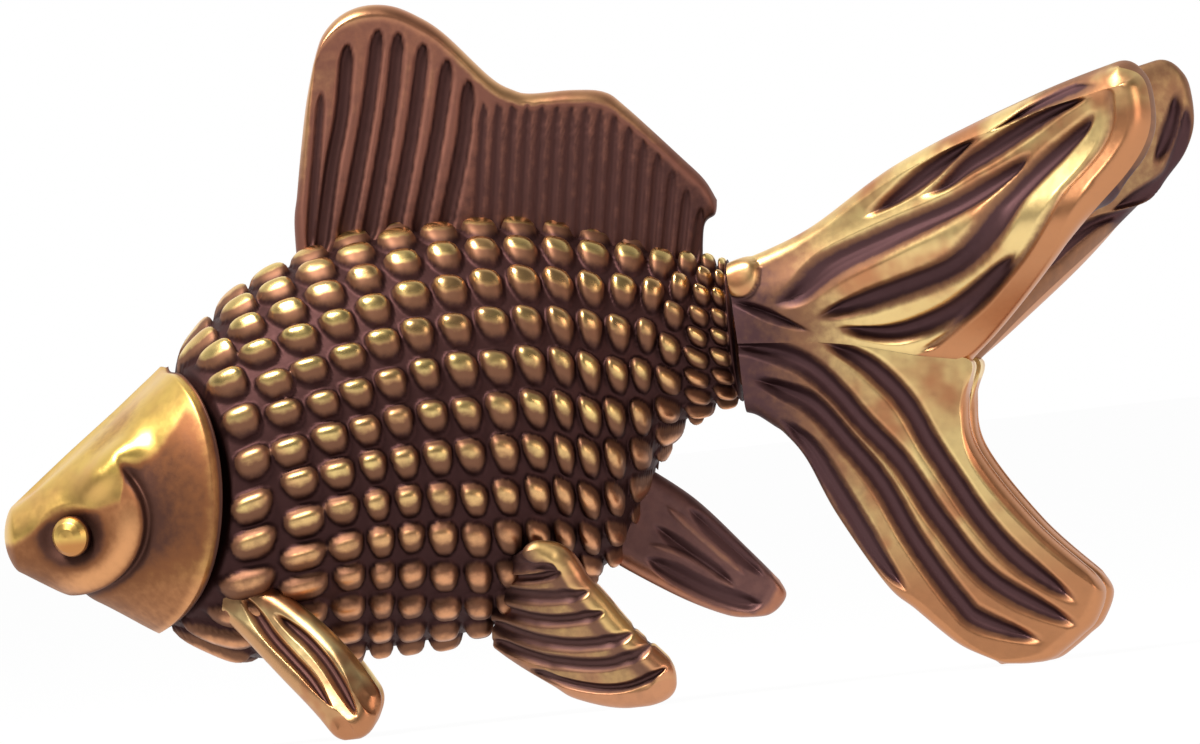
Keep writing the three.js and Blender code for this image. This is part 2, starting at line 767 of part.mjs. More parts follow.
// Brass tones: polished on the head, eyes and lobes, darker where the patina stays
const GOLD = { color: 0xd9a94a, roughness: 0.32 };
const BRONZE = { color: 0x9a6a3a, roughness: 0.42 };
const finishes = {
  body: { color: 0x8a6232, roughness: 0.38 },
  dorsal_fin: BRONZE,
  anal_fin: { color: 0x6e4430, roughness: 0.45 },
  tail_root: BRONZE,
};

// The figure's frame: centred over its length and width, standing on the ground.
const box = new THREE.Box3();
const group = new THREE.Group();
group.name = "goldfish_figurine";
for (const [name, piece] of Object.entries(pieces)) {
  const mesh = piece.getMesh();
  const geometry = new THREE.BufferGeometry();
  geometry.setAttribute("position", new THREE.BufferAttribute(mesh.vertProperties, 3));
  geometry.setIndex(new THREE.BufferAttribute(mesh.triVerts, 1));
  geometry.computeBoundingBox();
  box.union(geometry.boundingBox);
  const finish = finishes[name] ?? GOLD;
  const node = new THREE.Mesh(geometry, new THREE.MeshStandardMaterial({ ...finish, metalness: 1 }));
  node.name = name;
  group.add(node);
}
const middle = box.getCenter(new THREE.Vector3());
for (const node of group.children) node.geometry.translate(-middle.x, -middle.y, 0);

export default group;
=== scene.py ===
"""Looks of a small cast brass goldfish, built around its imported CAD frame."""

import math

import bpy
import numpy as np
from mathutils import Matrix, Vector


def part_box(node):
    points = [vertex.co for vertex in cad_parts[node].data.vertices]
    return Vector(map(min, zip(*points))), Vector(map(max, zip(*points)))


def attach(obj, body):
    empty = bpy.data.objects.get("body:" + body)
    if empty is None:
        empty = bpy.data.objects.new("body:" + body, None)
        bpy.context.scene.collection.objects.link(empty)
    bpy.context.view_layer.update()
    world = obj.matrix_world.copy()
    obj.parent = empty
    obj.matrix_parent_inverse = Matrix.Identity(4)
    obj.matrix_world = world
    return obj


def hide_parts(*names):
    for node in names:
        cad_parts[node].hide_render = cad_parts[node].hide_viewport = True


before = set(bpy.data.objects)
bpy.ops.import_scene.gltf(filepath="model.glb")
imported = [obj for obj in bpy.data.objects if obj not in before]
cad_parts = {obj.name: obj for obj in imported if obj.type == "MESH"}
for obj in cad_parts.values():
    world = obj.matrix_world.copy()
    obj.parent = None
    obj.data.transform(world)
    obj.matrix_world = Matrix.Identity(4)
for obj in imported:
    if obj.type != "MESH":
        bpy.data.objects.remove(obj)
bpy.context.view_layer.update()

# Body: the trunk behind the gill cover, solid cast brass with bead-like scales standing up from it.
# Dark patina fills the grooves between the scales, and handling has rubbed their tops bright.
# Painted shade darkens the scales' lower faces, painted top light helps brighten the back,
# and a painted reflection of the floor tints the belly copper.
# The head is socketed on its neck, and the fins sit in slots along it.
MM = 0.001
CLEARANCE = 0.3
BODY_LENGTH = 30.5
BODY_DEPTH = 17.9
BODY_WIDTH = 12.4
BELLY_HEIGHT = 2.85
HEAD_LENGTH = 9.1
GILL_CROWN = 7.4
GILL_THROAT = 6.1
NOSE_ROUND = 0.45
BACK_LINE = [
    (0, 0.43), (0.087, 0.543), (0.16, 0.636), (0.237, 0.735), (0.33, 0.88), (0.424, 0.958),
    (0.56, 1), (0.7, 0.99), (0.82, 0.941), (1, 0.841),
]
BELLY_LINE = [
    (0, 0.315), (0.087, 0.221), (0.237, 0.081), (0.3, 0.02), (0.38, 0), (0.54, 0.008),
    (0.66, 0.036), (0.76, 0.109), (0.815, 0.165), (0.865, 0.316), (0.914, 0.433), (1, 0.489),
]
HALF_WIDTHS = [
    (0, 0.21), (0.087, 0.476), (0.237, 0.82), (0.33, 0.93), (0.47, 1),
    (0.62, 0.976), (0.76, 0.84), (0.865, 0.61), (1, 0.34),
]
TAIL_SWING = math.radians(7)

SCALE_COLUMNS = 16
SCALE_PITCHES = [  # column number, then the distance between its rows
    (0, 1.65), (1, 1.45), (3, 1.52), (6, 1.73), (12, 1.66), (13, 1.3), (14, 0.85), (15, 0.8),
]
SCALE_HEIGHT = 0.6
RIGHT_FLANK_ROWS = 40  # added to row numbers on the right, so that its scales vary in their own way
ROWS_ABOVE_FLANK = 6.9
SHOULDER_COLUMN = 5
ROW_CLIMB = [(5, 0), (11, 1.1), (15, 1.55)]  # column number, then how many rows it lies higher
TAIL_SCALE_SINK = 0.25
COLUMNS_ON_BACK = [  # column number, then how far behind the nose it crosses the ridge of the back
    (0, 7.7), (0.5, 8.6), (2.5, 11.8), (4.5, 15.4), (6.5, 18.95),
    (8.5, 22.2), (10.5, 25.2), (12.5, 28.1), (14.5, 29.8), (16, 30.5),
]
COLUMNS_ON_FLANK = [
    (0, 9.5), (0.5, 10.45), (1.5, 12.15), (2.5, 13.85), (4.5, 16.6), (6.5, 19.3),
    (8.5, 22.1), (10.5, 24.4), (12.5, 26.8), (14.5, 29.1), (16, 30.5),
]
COLUMNS_ON_BELLY = [
    (0, 6.4), (0.5, 8.2), (1.5, 11.2), (2.5, 13.4), (4.5, 15.95), (6.5, 18.8),
    (8.5, 21.3), (10.5, 23.6), (12.5, 26), (14.5, 28.8), (16, 30.5),
]
NECK_LENGTH = 0.9
NECK_DEPTH = 1.2
NECK_STATIONS = 6
BODY_STATIONS = 240
BODY_AROUND = 400
FINE_GRAIN = 2600  # the patina's noises, in cycles to a metre
BUMP_GRAIN = 900
BROAD_GRAIN = 330
DULL_ROUGHNESS = 0.58

head_low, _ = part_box("head")
dorsal_low, dorsal_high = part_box("dorsal_fin")
nose_x = head_low.x
middle_y = (dorsal_low.y + dorsal_high.y) / 2


def smoothstep(value, low, high):
    """0 below low, 1 above high, and a smooth S between them."""
    t = np.clip((value - low) / (high - low), 0, 1)
    return t * t * (3 - 2 * t)


def smooth_curve(place, points):
    """Cubic curve through (place, value) points, each sloped by the line between its two neighbours."""
    at, value = np.array(points, float).T
    index = np.arange(len(at))
    before = np.maximum(index - 1, 0)
    after = np.minimum(index + 1, len(at) - 1)
    slope = (value[after] - value[before]) / (at[after] - at[before])
    place = np.clip(place, at[0], at[-1])
    end = np.clip(np.searchsorted(at, place), 1, len(at) - 1)
    start = end - 1
    span = at[end] - at[start]
    t = (place - at[start]) / span
    rise = t * t * (3 - 2 * t)
    bend = span * t * (1 - t) * (slope[start] * (1 - t) - slope[end] * t)
    return value[start] * (1 - rise) + value[end] * rise + bend


def trunk_section(x):
    """Middle height, half depth and half width of the trunk at x, closing in a round nose."""
    share = x / BODY_LENGTH
    nose = np.sqrt(1 - (1 - np.clip(x / NOSE_ROUND, 0, 1)) ** 2)
    back = BELLY_HEIGHT + BODY_DEPTH * smooth_curve(share, BACK_LINE)
    belly = BELLY_HEIGHT + BODY_DEPTH * smooth_curve(share, BELLY_LINE)
    half_width = BODY_WIDTH / 2 * smooth_curve(share, HALF_WIDTHS)
    return (back + belly) / 2, nose * (back - belly) / 2, nose * half_width


def trunk_point(x, angle, offset):
    """Ellipse at x swollen by offset: angle 0 on the back, pi on the belly, left flank between them."""
    middle, depth, width = trunk_section(x)
    y = -(width + offset) * np.sin(angle)
    z = middle + (depth + offset) * np.cos(angle)
    return np.stack(np.broadcast_arrays(x, y, z), axis=-1)


def down_the_flank(angle, back, flank, belly):
    """Parabola by lowness, 0 on the back to 1 on the belly, through values on back, mid flank and belly."""
    low = (1 - np.cos(angle)) / 2
    return back * (1 - low) * (1 - 2 * low) + flank * 4 * low * (1 - low) + belly * low * (2 * low - 1)


def gill_edge(angle):
    """Rear edge of the gill cover, furthest back half way down and swept forward at crown and throat."""
    return down_the_flank(angle, GILL_CROWN, HEAD_LENGTH, GILL_THROAT)


def skin(name, rings, marks):
    """Closed mesh over rings of points in mm. Each end ring is zipped shut between its two halves.

    Point 0 and the point half way round lie on the zip's ends, so point k pairs with point -k.
    Marks are named values per point, kept from 0 to 1 as attributes for the material."""
    count, around = rings.shape[:2]
    corner = np.arange(count * around).reshape(count, around)
    beside = np.roll(corner, -1, axis=1)
    quads = np.stack([corner[:-1], beside[:-1], beside[1:], corner[1:]], axis=-1).reshape(-1, 4)
    step = np.arange(1, around // 2 - 1)
    ends = [np.array([0, 1, around - 1]), np.array([around // 2 - 1, around // 2, around // 2 + 1])]
    zips = np.stack([step, step + 1, around - step - 1, around - step], axis=-1)
    last = (count - 1) * around
    faces = [*quads, *zips[:, ::-1], *(zips + last)]
    faces += [end[::-1] for end in ends] + [end + last for end in ends]
    points = rings.reshape(-1, 3) * MM + np.array([nose_x, middle_y, 0])
    a, b, c, d = (points[quads[:, k]] - points.mean(axis=0) for k in range(4))
    volume = np.einsum("ij,ij->", np.cross(b - a, c - a) + np.cross(c - a, d - a), a)
    if volume < 0:
        faces = [face[::-1] for face in faces]
    mesh = bpy.data.meshes.new(name)
    mesh.from_pydata(points.tolist(), [], [face.tolist() for face in faces])
    mesh.polygons.foreach_set("use_smooth", np.ones(len(mesh.polygons), bool))
    for mark, value in marks.items():
        values = np.broadcast_to(np.clip(value, 0, 1), (count, around)).astype(np.float32)
        mesh.attributes.new(mark, "FLOAT", "POINT").data.foreach_set("value", values.ravel())
    mesh.update()
    piece = bpy.data.objects.new(name, mesh)
    bpy.context.scene.collection.objects.link(piece)
    return piece


def steady_chance(column, row, turn):
    """A number from 0 to 1 for each scale that looks random: the fraction left of a large sine."""
    return np.mod(np.sin(column * 12.99 + row * 78.23 + turn * 37.7) * 4375.85, 1)


def scale_field(column, row, front_zone):
    """Height, and share of wear with painted shade, both 0 to 1, of the scales on a lattice of columns and
    rows.

    Each scale is a lopsided dome, one minus the sum of two powers, with its crest near the upper edge,
    a short steep fall above it and a long tilted face below. The share fades down that face: wear on the
    crest, and painted shade on the lower face, which is turned from the light."""
    cell = np.floor(column)
    tier = np.floor(row)
    loose = 0.06 + 0.12 * front_zone
    along = column - cell - 0.5 + loose * (steady_chance(cell, tier, 1) - 0.5)
    down = row - tier - 0.5 + loose * (steady_chance(cell, tier, 2) - 0.5)
    below = down + 0.14
    reach = np.where(below < 0, 0.31, 0.58) * (0.93 + 0.14 * steady_chance(cell, tier, 3))
    taper = 1 - 0.16 * np.clip(below / 0.5, 0, 1)
    half = (0.44 + 0.03 * front_zone) * taper * (0.94 + 0.12 * steady_chance(cell, tier, 4))
    lean = along - 0.1 * below
    dome = 1 - np.abs(lean / half) ** 3 - np.abs(below / reach) ** 2.6
    tall = 0.9 + 0.1 * steady_chance(cell, tier, 5) - 0.36 * np.clip(below / reach, 0, 1)
    height = tall * np.clip(dome, 0, 1) ** 0.5
    # Wear on the crest, fading down the face as painted shade.
    return height, height * (1 - 0.5 * smoothstep(below / reach, 0, 0.95))


def body_rings():
    """Stations from the gill cover to the tail line by points round the trunk, with the scales' height.

    A column of scales is the parabola through its places on back, flank and belly. Its rows are counted,
    at its own pitch round the flank, from the line half way down as far as the shoulder, and from a fixed
    distance below the back behind it, climbing towards the tail. The last columns sink in towards a
    collar at the tail line, and a bare neck runs in under the head. Wear is widest along the back, which
    is partly painted top light, and the copper tint towards the belly is a painted reflection of the floor."""
    column = np.linspace(0, SCALE_COLUMNS, BODY_STATIONS)[:, None]
    share = column / SCALE_COLUMNS
    angle = np.linspace(0, 2 * np.pi, BODY_AROUND, endpoint=False)[None, :]
    places = (smooth_curve(column, line) for line in (COLUMNS_ON_BACK, COLUMNS_ON_FLANK, COLUMNS_ON_BELLY))
    x = down_the_flank(angle, *places)
    ground = trunk_point(x, angle, -SCALE_HEIGHT)
    half = BODY_AROUND // 2
    steps = np.linalg.norm(np.diff(ground[:, : half + 1], axis=1), axis=-1)
    girth = np.concatenate([np.zeros((BODY_STATIONS, 1)), np.cumsum(steps, axis=1)], axis=1)
    folded = np.minimum(np.arange(BODY_AROUND), BODY_AROUND - np.arange(BODY_AROUND))
    pitch = smooth_curve(np.floor(column), SCALE_PITCHES)
    shoulder = np.minimum(column, SHOULDER_COLUMN)
    middle = np.interp(shoulder, column[:, 0], girth[:, half // 2])
    rows_above = ROWS_ABOVE_FLANK - middle / smooth_curve(np.floor(shoulder), SCALE_PITCHES)
    climb = smooth_curve(np.floor(column), ROW_CLIMB)
    row = rows_above + climb + girth[:, folded] / pitch
    row = row + np.where(np.sin(angle) < 0, RIGHT_FLANK_ROWS, 0)
    # The second value holds the crests' wear and painted shade on the scales' lower faces.
    height, worn = scale_field(column, row, 1 - smoothstep(share, 0.08, 0.2))
    height = height * (1 - TAIL_SCALE_SINK * smoothstep(share, 0.84, 0.97))
    collar = 0.6 * smoothstep(share, 0.985, 1)
    rings = trunk_point(x, angle, SCALE_HEIGHT * (np.maximum(height, collar) - 1))
    rings[..., 0] += rings[..., 1] * np.tan(TAIL_SWING) * share**4
    inward = np.linspace(1, 0, NECK_STATIONS, endpoint=False)[:, None]
    neck = trunk_point(x[:1] - NECK_LENGTH * inward, angle, -SCALE_HEIGHT - NECK_DEPTH * inward**0.5)
    bare = np.zeros((NECK_STATIONS, BODY_AROUND))
    low = np.broadcast_to((1 - np.cos(angle)) / 2, (NECK_STATIONS + BODY_STATIONS, BODY_AROUND))
    # The back has more wear than the flanks, partly real and partly painted top light.
    worn = np.concatenate([bare, worn]) * (1.25 - 0.32 * smoothstep(low, 0.1, 0.4))
    # Copper tint towards the belly: a painted reflection of the floor.
    marks = {"relief": worn, "copper_reflection_and_tint": smoothstep(low, 0.5, 0.85)}
    return np.concatenate([neck, rings]), marks


def srgb(red, green, blue):
    """Screen colour, 0 to 255, as the linear colour that a shader socket takes."""
    value = np.array([red, green, blue]) / 255
    linear = np.where(value <= 0.04045, value / 12.92, ((value + 0.055) / 1.055) ** 2.4)
    return (*linear.tolist(), 1)


def added(tree, kind, fed, **settings):
    """A new node with its settings made and its inputs fed by values or by other nodes' outputs."""
    node = tree.nodes.new("ShaderNode" + kind)
    for name, value in settings.items():
        setattr(node, name, value)
    for name, value in fed.items():
        if isinstance(value, bpy.types.NodeSocket):
            tree.links.new(value, node.inputs[name])
        else:
            node.inputs[name].default_value = value
    return node


def math_output(tree, operation, *values):
    """Output of a new math node."""
    return added(tree, "Math", dict(enumerate(values)), operation=operation).outputs[0]


def range_output(tree, value, low, high, to_low=0, to_high=1, blend="SMOOTHSTEP"):
    """Output of a new map range node."""
    names = ("Value", "From Min", "From Max", "To Min", "To Max")
    fed = dict(zip(names, (value, low, high, to_low, to_high)))
    return added(tree, "MapRange", fed, interpolation_type=blend).outputs["Result"]


def aged_brass_group():
    """Shared finish: patina in the hollows, brown on the slopes and rubbed metal on the high places.

    The relief mark, which on some pieces also carries painted shade, is loosened by a fine noise, then
    two soft steps turn it into the shares of brown and of rubbed metal, whose roughness is Polish. A broad
    noise, by the share Drift, or the copper reflection and tint mark, which on most pieces is a painted
    reflection of the floor, turns the rubbed metal towards copper."""
    group = bpy.data.node_groups.new("aged_brass", "ShaderNodeTree")
    for way, kind, names in (
        ("INPUT", "Float", ("Relief", "Copper Reflection And Tint", "Rubbed From", "Rubbed To", "Polish", "Drift")),
        ("INPUT", "Color", ("Patina", "Brown", "Rubbed", "Copper")),
        ("OUTPUT", "Color", ("Color",)),
        ("OUTPUT", "Float", ("Roughness", "Height")),
    ):
        for name in names:
            group.interface.new_socket(name, in_out=way, socket_type="NodeSocket" + kind)
    given = group.nodes.new("NodeGroupInput").outputs
    place = added(group, "TexCoord", {}).outputs["Object"]

    def noise(scale, detail):
        return added(group, "TexNoise", {"Vector": place, "Scale": scale, "Detail": detail}).outputs["Fac"]

    def mixed(share, first, second):
        fed = {"Factor": share, "A": first, "B": second}
        return added(group, "Mix", fed, data_type="RGBA").outputs["Result"]

    fine = noise(FINE_GRAIN, 4)
    unsteady = math_output(group, "MULTIPLY_ADD", fine, 0.3, -0.15)
    loosened = math_output(group, "ADD", given["Relief"], unsteady)
    browned = range_output(group, loosened, 0.1, 0.45)
    rubbed = range_output(group, loosened, given["Rubbed From"], given["Rubbed To"])
    patches = range_output(group, noise(BROAD_GRAIN, 3), 0.42, 0.66)
    drift = math_output(group, "MULTIPLY", patches, given["Drift"])
    coppery = math_output(group, "MAXIMUM", drift, given["Copper Reflection And Tint"])
    metal = mixed(coppery, given["Rubbed"], given["Copper"])
    slopes = mixed(browned, given["Patina"], given["Brown"])
    polishing = math_output(group, "SUBTRACT", given["Polish"], DULL_ROUGHNESS)
    dulled = math_output(group, "MULTIPLY_ADD", rubbed, polishing, DULL_ROUGHNESS)
    uneven = math_output(group, "MULTIPLY_ADD", fine, 0.16, -0.08)
    results = group.nodes.new("NodeGroupOutput").inputs
    link = group.links.new
    link(mixed(rubbed, slopes, metal), results["Color"])
    link(math_output(group, "ADD", dulled, uneven), results["Roughness"])
    link(math_output(group, "MULTIPLY_ADD", noise(BUMP_GRAIN, 3), 0.7, fine), results["Height"])
    return group


aged_brass = aged_brass_group()


def brass_material(name, patina, brown, rubbed, copper, worn, polish=0.34, drift=1):
    """One piece's brass: the aged_brass group with its own colours, on a fully metallic shader.

    Worn holds the relief from which rubbed metal shows, and the relief at which it covers all."""
    material = bpy.data.materials.new(name)
    material.use_nodes = True
    tree = material.node_tree
    shader = tree.nodes["Principled BSDF"]
    shader.inputs["Metallic"].default_value = 1
    colours = {"Patina": patina, "Brown": brown, "Rubbed": rubbed, "Copper": copper}
    fed = {socket: srgb(*colour) for socket, colour in colours.items()}
    fed |= {"Rubbed From": worn[0], "Rubbed To": worn[1], "Polish": polish, "Drift": drift}
    for mark, socket in (("relief", "Relief"), ("copper_reflection_and_tint", "Copper Reflection And Tint")):
        fed[socket] = added(tree, "Attribute", {}, attribute_name=mark).outputs["Fac"]
    finish = added(tree, "Group", fed, node_tree=aged_brass).outputs
    rough = {"Strength": 0.12, "Distance": 0.05 * MM, "Height": finish["Height"]}
    bump = added(tree, "Bump", rough)
    tree.links.new(finish["Color"], shader.inputs["Base Color"])
    tree.links.new(finish["Roughness"], shader.inputs["Roughness"])
    tree.links.new(bump.outputs["Normal"], shader.inputs["Normal"])
    return material


def fit(piece, node, material):
    """Gives a piece its material, and puts it in the place of its CAD node on the one rigid body."""
    piece.data.materials.append(material)
    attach(piece, "root")
    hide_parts(node)


rings, marks = body_rings()
fit(
    skin("scaled_body", rings, marks),
    "body",
    brass_material(
        "scaled_brass_patina", patina=(70, 46, 45), brown=(132, 93, 72), rubbed=(248, 216, 140),
        copper=(224, 160, 116), worn=(0.62, 1.0), polish=0.24, drift=0.6,
    ),
)

# Head: a smooth casting with a flat forehead, a brow ridge over the eye's bowl and a rounded gill cover.
# It is rubbed bright on the forehead and brow, and brown on the gill plate behind the cheek's crease,
# with painted shadow at the crease's top and just behind it.
# It is socketed on the body's neck.
HEAD_STATIONS = 200
HEAD_AROUND = 360
GILL_EDGE_ROUND = 0.3
FOREHEAD_ANGLE = math.radians(36)
FOREHEAD_FLAT = 0.2
CHEEK_RADIUS = 3.1
CHEEK_LIFT = 0.525
CHEEK_STEP = 0.32
EYE_RADIUS = 0.82
EYE_X = 0.3 * HEAD_LENGTH
EYE_Z = BELLY_HEIGHT + 0.366 * BODY_DEPTH
BOWL_RADIUS = 1.5
BOWL_DEPTH = 0.42
BROW = [(2.6, 10.75), (3.25, 11.1), (4.26, 11.75), (4.95, 12.3), (5.8, 12.75), (6.7, 12.9)]
BROW_RISE = 0.42
BROW_WIDTH = 0.6
TEMPLE = [(3.2, 12.1), (4.4, 13.1), (5.5, 14.1), (6.6, 14.9)]
TEMPLE_DEPTH = 0.14
TEMPLE_WIDTH = 0.45
# Foot of the bright forehead, and upper edge of the brown gill plate.
FACE_LINE = [(0.4, 9.5), (1.95, 10.3), (3.9, 10.6), (4.9, 10.8), (5.25, 11.8)]
PLATE_LINE = [(5.25, 11.9), (6.65, 12.55), (7.45, 13.4), (8, 14.2)]
CREASE_TOP = (5.2, 11.7)
THROAT_BAND = (6.5, 9)  # heights over which the throat's brown ends
CROWN_BAND = (12, 15)  # heights over which the crown's wear begins
NOSE_START = 0.0005  # the first station's share of the way, just behind the point


def spline(points, share):
    """Points at even shares of the length of a smooth curve, each point sloped by its two neighbours."""
    points = np.array(points, float)
    padded = np.concatenate([points[:1], points, points[-1:]])
    a, b, c, d = (padded[k : k + len(points) - 1, None] for k in range(4))
    t = np.linspace(0, 1, 60, endpoint=False)[:, None]
    bent = (2 * a - 5 * b + 4 * c - d) * t**2 + (3 * b - a - 3 * c + d) * t**3
    fine = np.concatenate([(b + (c - a) * t / 2 + bent / 2).reshape(-1, 2), points[-1:]])
    length = np.concatenate([[0], np.cumsum(np.linalg.norm(np.diff(fine, axis=0), axis=1))])
    at = share * length[-1]
    return np.stack([np.interp(at, length, fine[:, k]) for k in range(2)], axis=-1)


def distance_to_curve(first, second, points):
    """Distance from places, given by their two coordinates, to a smooth curve, and the share along it.

    The nearest of many points on the curve is slid along its tangent to stand square to the place."""
    share = np.linspace(0, 1, 150)
    curve = spline(points, share)
    tangent = np.gradient(curve, share, axis=0)
    nearest = np.hypot(first[..., None] - curve[:, 0], second[..., None] - curve[:, 1]).argmin(axis=-1)
    off = np.stack([first, second], axis=-1) - curve[nearest]
    slope = tangent[nearest]
    slide = (off * slope).sum(axis=-1) / (slope**2).sum(axis=-1)
    at = np.clip(share[nearest] + slide, 0, 1)
    off = off - slope * (at - share[nearest])[..., None]
    return np.linalg.norm(off, axis=-1), at


def bell(distance, width):
    """1 at no distance, falling smoothly to about a third at the width."""
    return np.exp(-((distance / width) ** 2))


def along_curve(x, z, points, width):
    """Bell of the distance to a curve in side view, fading at the curve's two ends."""
    gap, share = distance_to_curve(x, z, points)
    return bell(gap, width) * smoothstep(np.minimum(share, 1 - share), 0, 0.4)


def head_rings():
    """Stations from the nose to the gill edge, each a share of the way to the edge at its angle.

    The forehead is cut flat by a cubic over its angle, the gill plate drops behind an arc round the
    cheek and recovers over 3 mm, and bells of distance make the crease, the brow and the temple's hollow.
    The cheek round the eye is darker, but for a crescent inside the arc. Painted shadow darkens the
    crease's top and the gill plate just behind the crease, and the throat's copper tint is a painted
    reflection of the floor."""
    share = NOSE_START + (1 - NOSE_START) * np.linspace(0, 1, HEAD_STATIONS)[:, None] ** 1.15
    angle = np.linspace(0, 2 * np.pi, HEAD_AROUND, endpoint=False)[None, :]
    x = share * gill_edge(angle)
    z = trunk_point(x, angle, 0)[..., 2]
    across = x - EYE_X
    up = z - EYE_Z - CHEEK_LIFT
    beyond = np.hypot(across, up) - CHEEK_RADIUS
    bearing = np.degrees(np.arctan2(up, across))
    reach = smoothstep(bearing, -130, -95) * (1 - smoothstep(bearing, 30, 50))
    drop = smoothstep(beyond, -0.12, 0.25) * (1 - smoothstep(beyond, 0.25, 3))
    crease = reach * bell(beyond - 0.1, 0.22)
    brow = along_curve(x, z, BROW, BROW_WIDTH)
    temple = along_curve(x, z, TEMPLE, TEMPLE_WIDTH)
    from_eye = np.hypot(across, 1.1 * (z - EYE_Z))
    bowl = 1 - smoothstep(from_eye, 0.5 * BOWL_RADIUS, BOWL_RADIUS)
    turn = np.clip(np.minimum(angle, 2 * np.pi - angle) / FOREHEAD_ANGLE, 0, 1)
    flat = 6.75 * turn * (1 - turn) ** 2 * smoothstep(x, 0.2, 1.6)
    edge = GILL_EDGE_ROUND * smoothstep(share, 0.95, 1)
    offset = BROW_RISE * brow - TEMPLE_DEPTH * temple - FOREHEAD_FLAT * flat - BOWL_DEPTH * bowl
    offset = offset - CHEEK_STEP * reach * drop - 0.16 * crease - edge
    offset = offset * smoothstep(x, 0, NOSE_ROUND)
    over = smoothstep(z - np.interp(x, *zip(*PLATE_LINE)), -0.4, 0.4)
    shade = smoothstep(bearing, -130, -95) * (1 - over)
    plate = shade * smoothstep(beyond, 0, 0.4)
    rim = smoothstep(share, 0.9, 0.955)
    under = 1 - smoothstep(z, *THROAT_BAND)
    cheek = 1 - smoothstep(z - np.interp(x, *zip(*FACE_LINE)), -0.4, 0.1)
    cheek = cheek * (1 - smoothstep(beyond, -0.2, 0.1))
    crescent = bell(beyond + 0.6, 0.5) * smoothstep(bearing, -125, -80)
    crescent = crescent * (1 - smoothstep(bearing, -10, 25))
    # A painted shadow at the top of the cheek's crease.
    painted_crease_shadow = np.exp(-((x - CREASE_TOP[0]) ** 2 + (z - CREASE_TOP[1]) ** 2) / 0.2)
    crown = smoothstep(z, *CROWN_BAND)
    # Painted shadow on the gill plate just behind the crease, weaker at the throat.
    behind = bell(beyond - 0.5, 0.9) * (1 - 0.6 * under)
    ring = 1 - smoothstep(from_eye, 1.1, 1.75)
    relief = 0.95 - plate * (0.6 - 0.26 * under - 0.2 * rim - 0.15 * crown + 0.2 * behind)
    relief = relief - 0.25 * temple - 0.9 * crease - 0.5 * painted_crease_shadow + 0.3 * brow
    relief = relief - 0.45 * cheek * (1 - crescent) - 0.45 * ring - 0.8 * smoothstep(share, 0.975, 1)
    # The throat's copper tint is a painted reflection of the floor; the cheek and gill plate are tinted
    # copper as well.
    copper_reflection_and_tint = np.maximum(np.maximum(0.9 * under, 0.9 * cheek), 0.5 * plate)
    return trunk_point(x, angle, offset), {"relief": relief, "copper_reflection_and_tint": copper_reflection_and_tint}


rings, marks = head_rings()
fit(
    skin("smooth_head", rings, marks),
    "head",
    brass_material(
        "head_brass", patina=(92, 62, 53), brown=(138, 90, 60), rubbed=(236, 198, 108),
        copper=(220, 154, 108), worn=(0.4, 1.0), drift=0.4,
    ),
)

# Eyes: a domed brass bead on each side, its stem set in the head in a ring-shaped hollow.
# The dome is rubbed bright, and patina stays in the ring round it.
EYE_AROUND = 64
EYE_SEAT = -0.35
EYE_PROFILE = [
    (0.02, -1.2), (0.4, -1.15), (0.4, 0), (EYE_RADIUS, 0.02), (1.03 * EYE_RADIUS, 0.25),
    (0.95 * EYE_RADIUS, 0.45), (0.75 * EYE_RADIUS, 0.62), (0.42 * EYE_RADIUS, 0.74), (0.02, 0.78),
]
EYE_STEPS = 12


def flank_point(x, z):
    """Point of the trunk's left side at x and height z."""
    middle, depth, width = trunk_section(np.asarray(x, float))
    share = np.clip((z - middle) / depth, -1, 1)
    return np.array([float(x), float(-width * np.sqrt(1 - share**2)), z])


def eye_rings(side):
    """The bead's profile, radius by height, turned about the line square to the head at the eye."""
    here = flank_point(EYE_X, EYE_Z)
    step = 0.05
    along = flank_point(EYE_X + step, EYE_Z) - here
    up = flank_point(EYE_X, EYE_Z + step) - here
    outward = np.cross(along, up)
    outward /= np.linalg.norm(outward)
    first = np.cross(outward, [0, 0, 1.0])
    first /= np.linalg.norm(first)
    second = np.cross(outward, first)
    profile = np.array(EYE_PROFILE)
    place = np.linspace(0, len(profile) - 1, EYE_STEPS * (len(profile) - 1) + 1)
    radius = np.interp(place, np.arange(len(profile)), profile[:, 0])[:, None, None]
    rise = np.interp(place, np.arange(len(profile)), profile[:, 1])[:, None, None]
    turn = np.linspace(0, 2 * np.pi, EYE_AROUND, endpoint=False)[None, :, None]
    rings = here + (rise + EYE_SEAT) * outward + radius * (np.cos(turn) * first + np.sin(turn) * second)
    rings[..., 1] *= -side
    relief = smoothstep(rise[..., 0], 0.2, 0.55)
    return rings, relief


eye_brass = brass_material(
    "eye_brass", patina=(70, 42, 38), brown=(170, 112, 64), rubbed=(240, 202, 112),
    copper=(196, 136, 80), worn=(0.3, 0.9),
)
for side, name in ((-1, "left_eye"), (1, "right_eye")):
    rings, height = eye_rings(side)
    # The bead's lower half is tinted copper as a painted reflection of the floor.
    shaded = 1 - smoothstep(rings[..., 2] - EYE_Z, -0.4, 0.1)
    marks = {"relief": height, "copper_reflection_and_tint": shaded}
    fit(skin(name + "_bead", rings, marks), name, eye_brass)

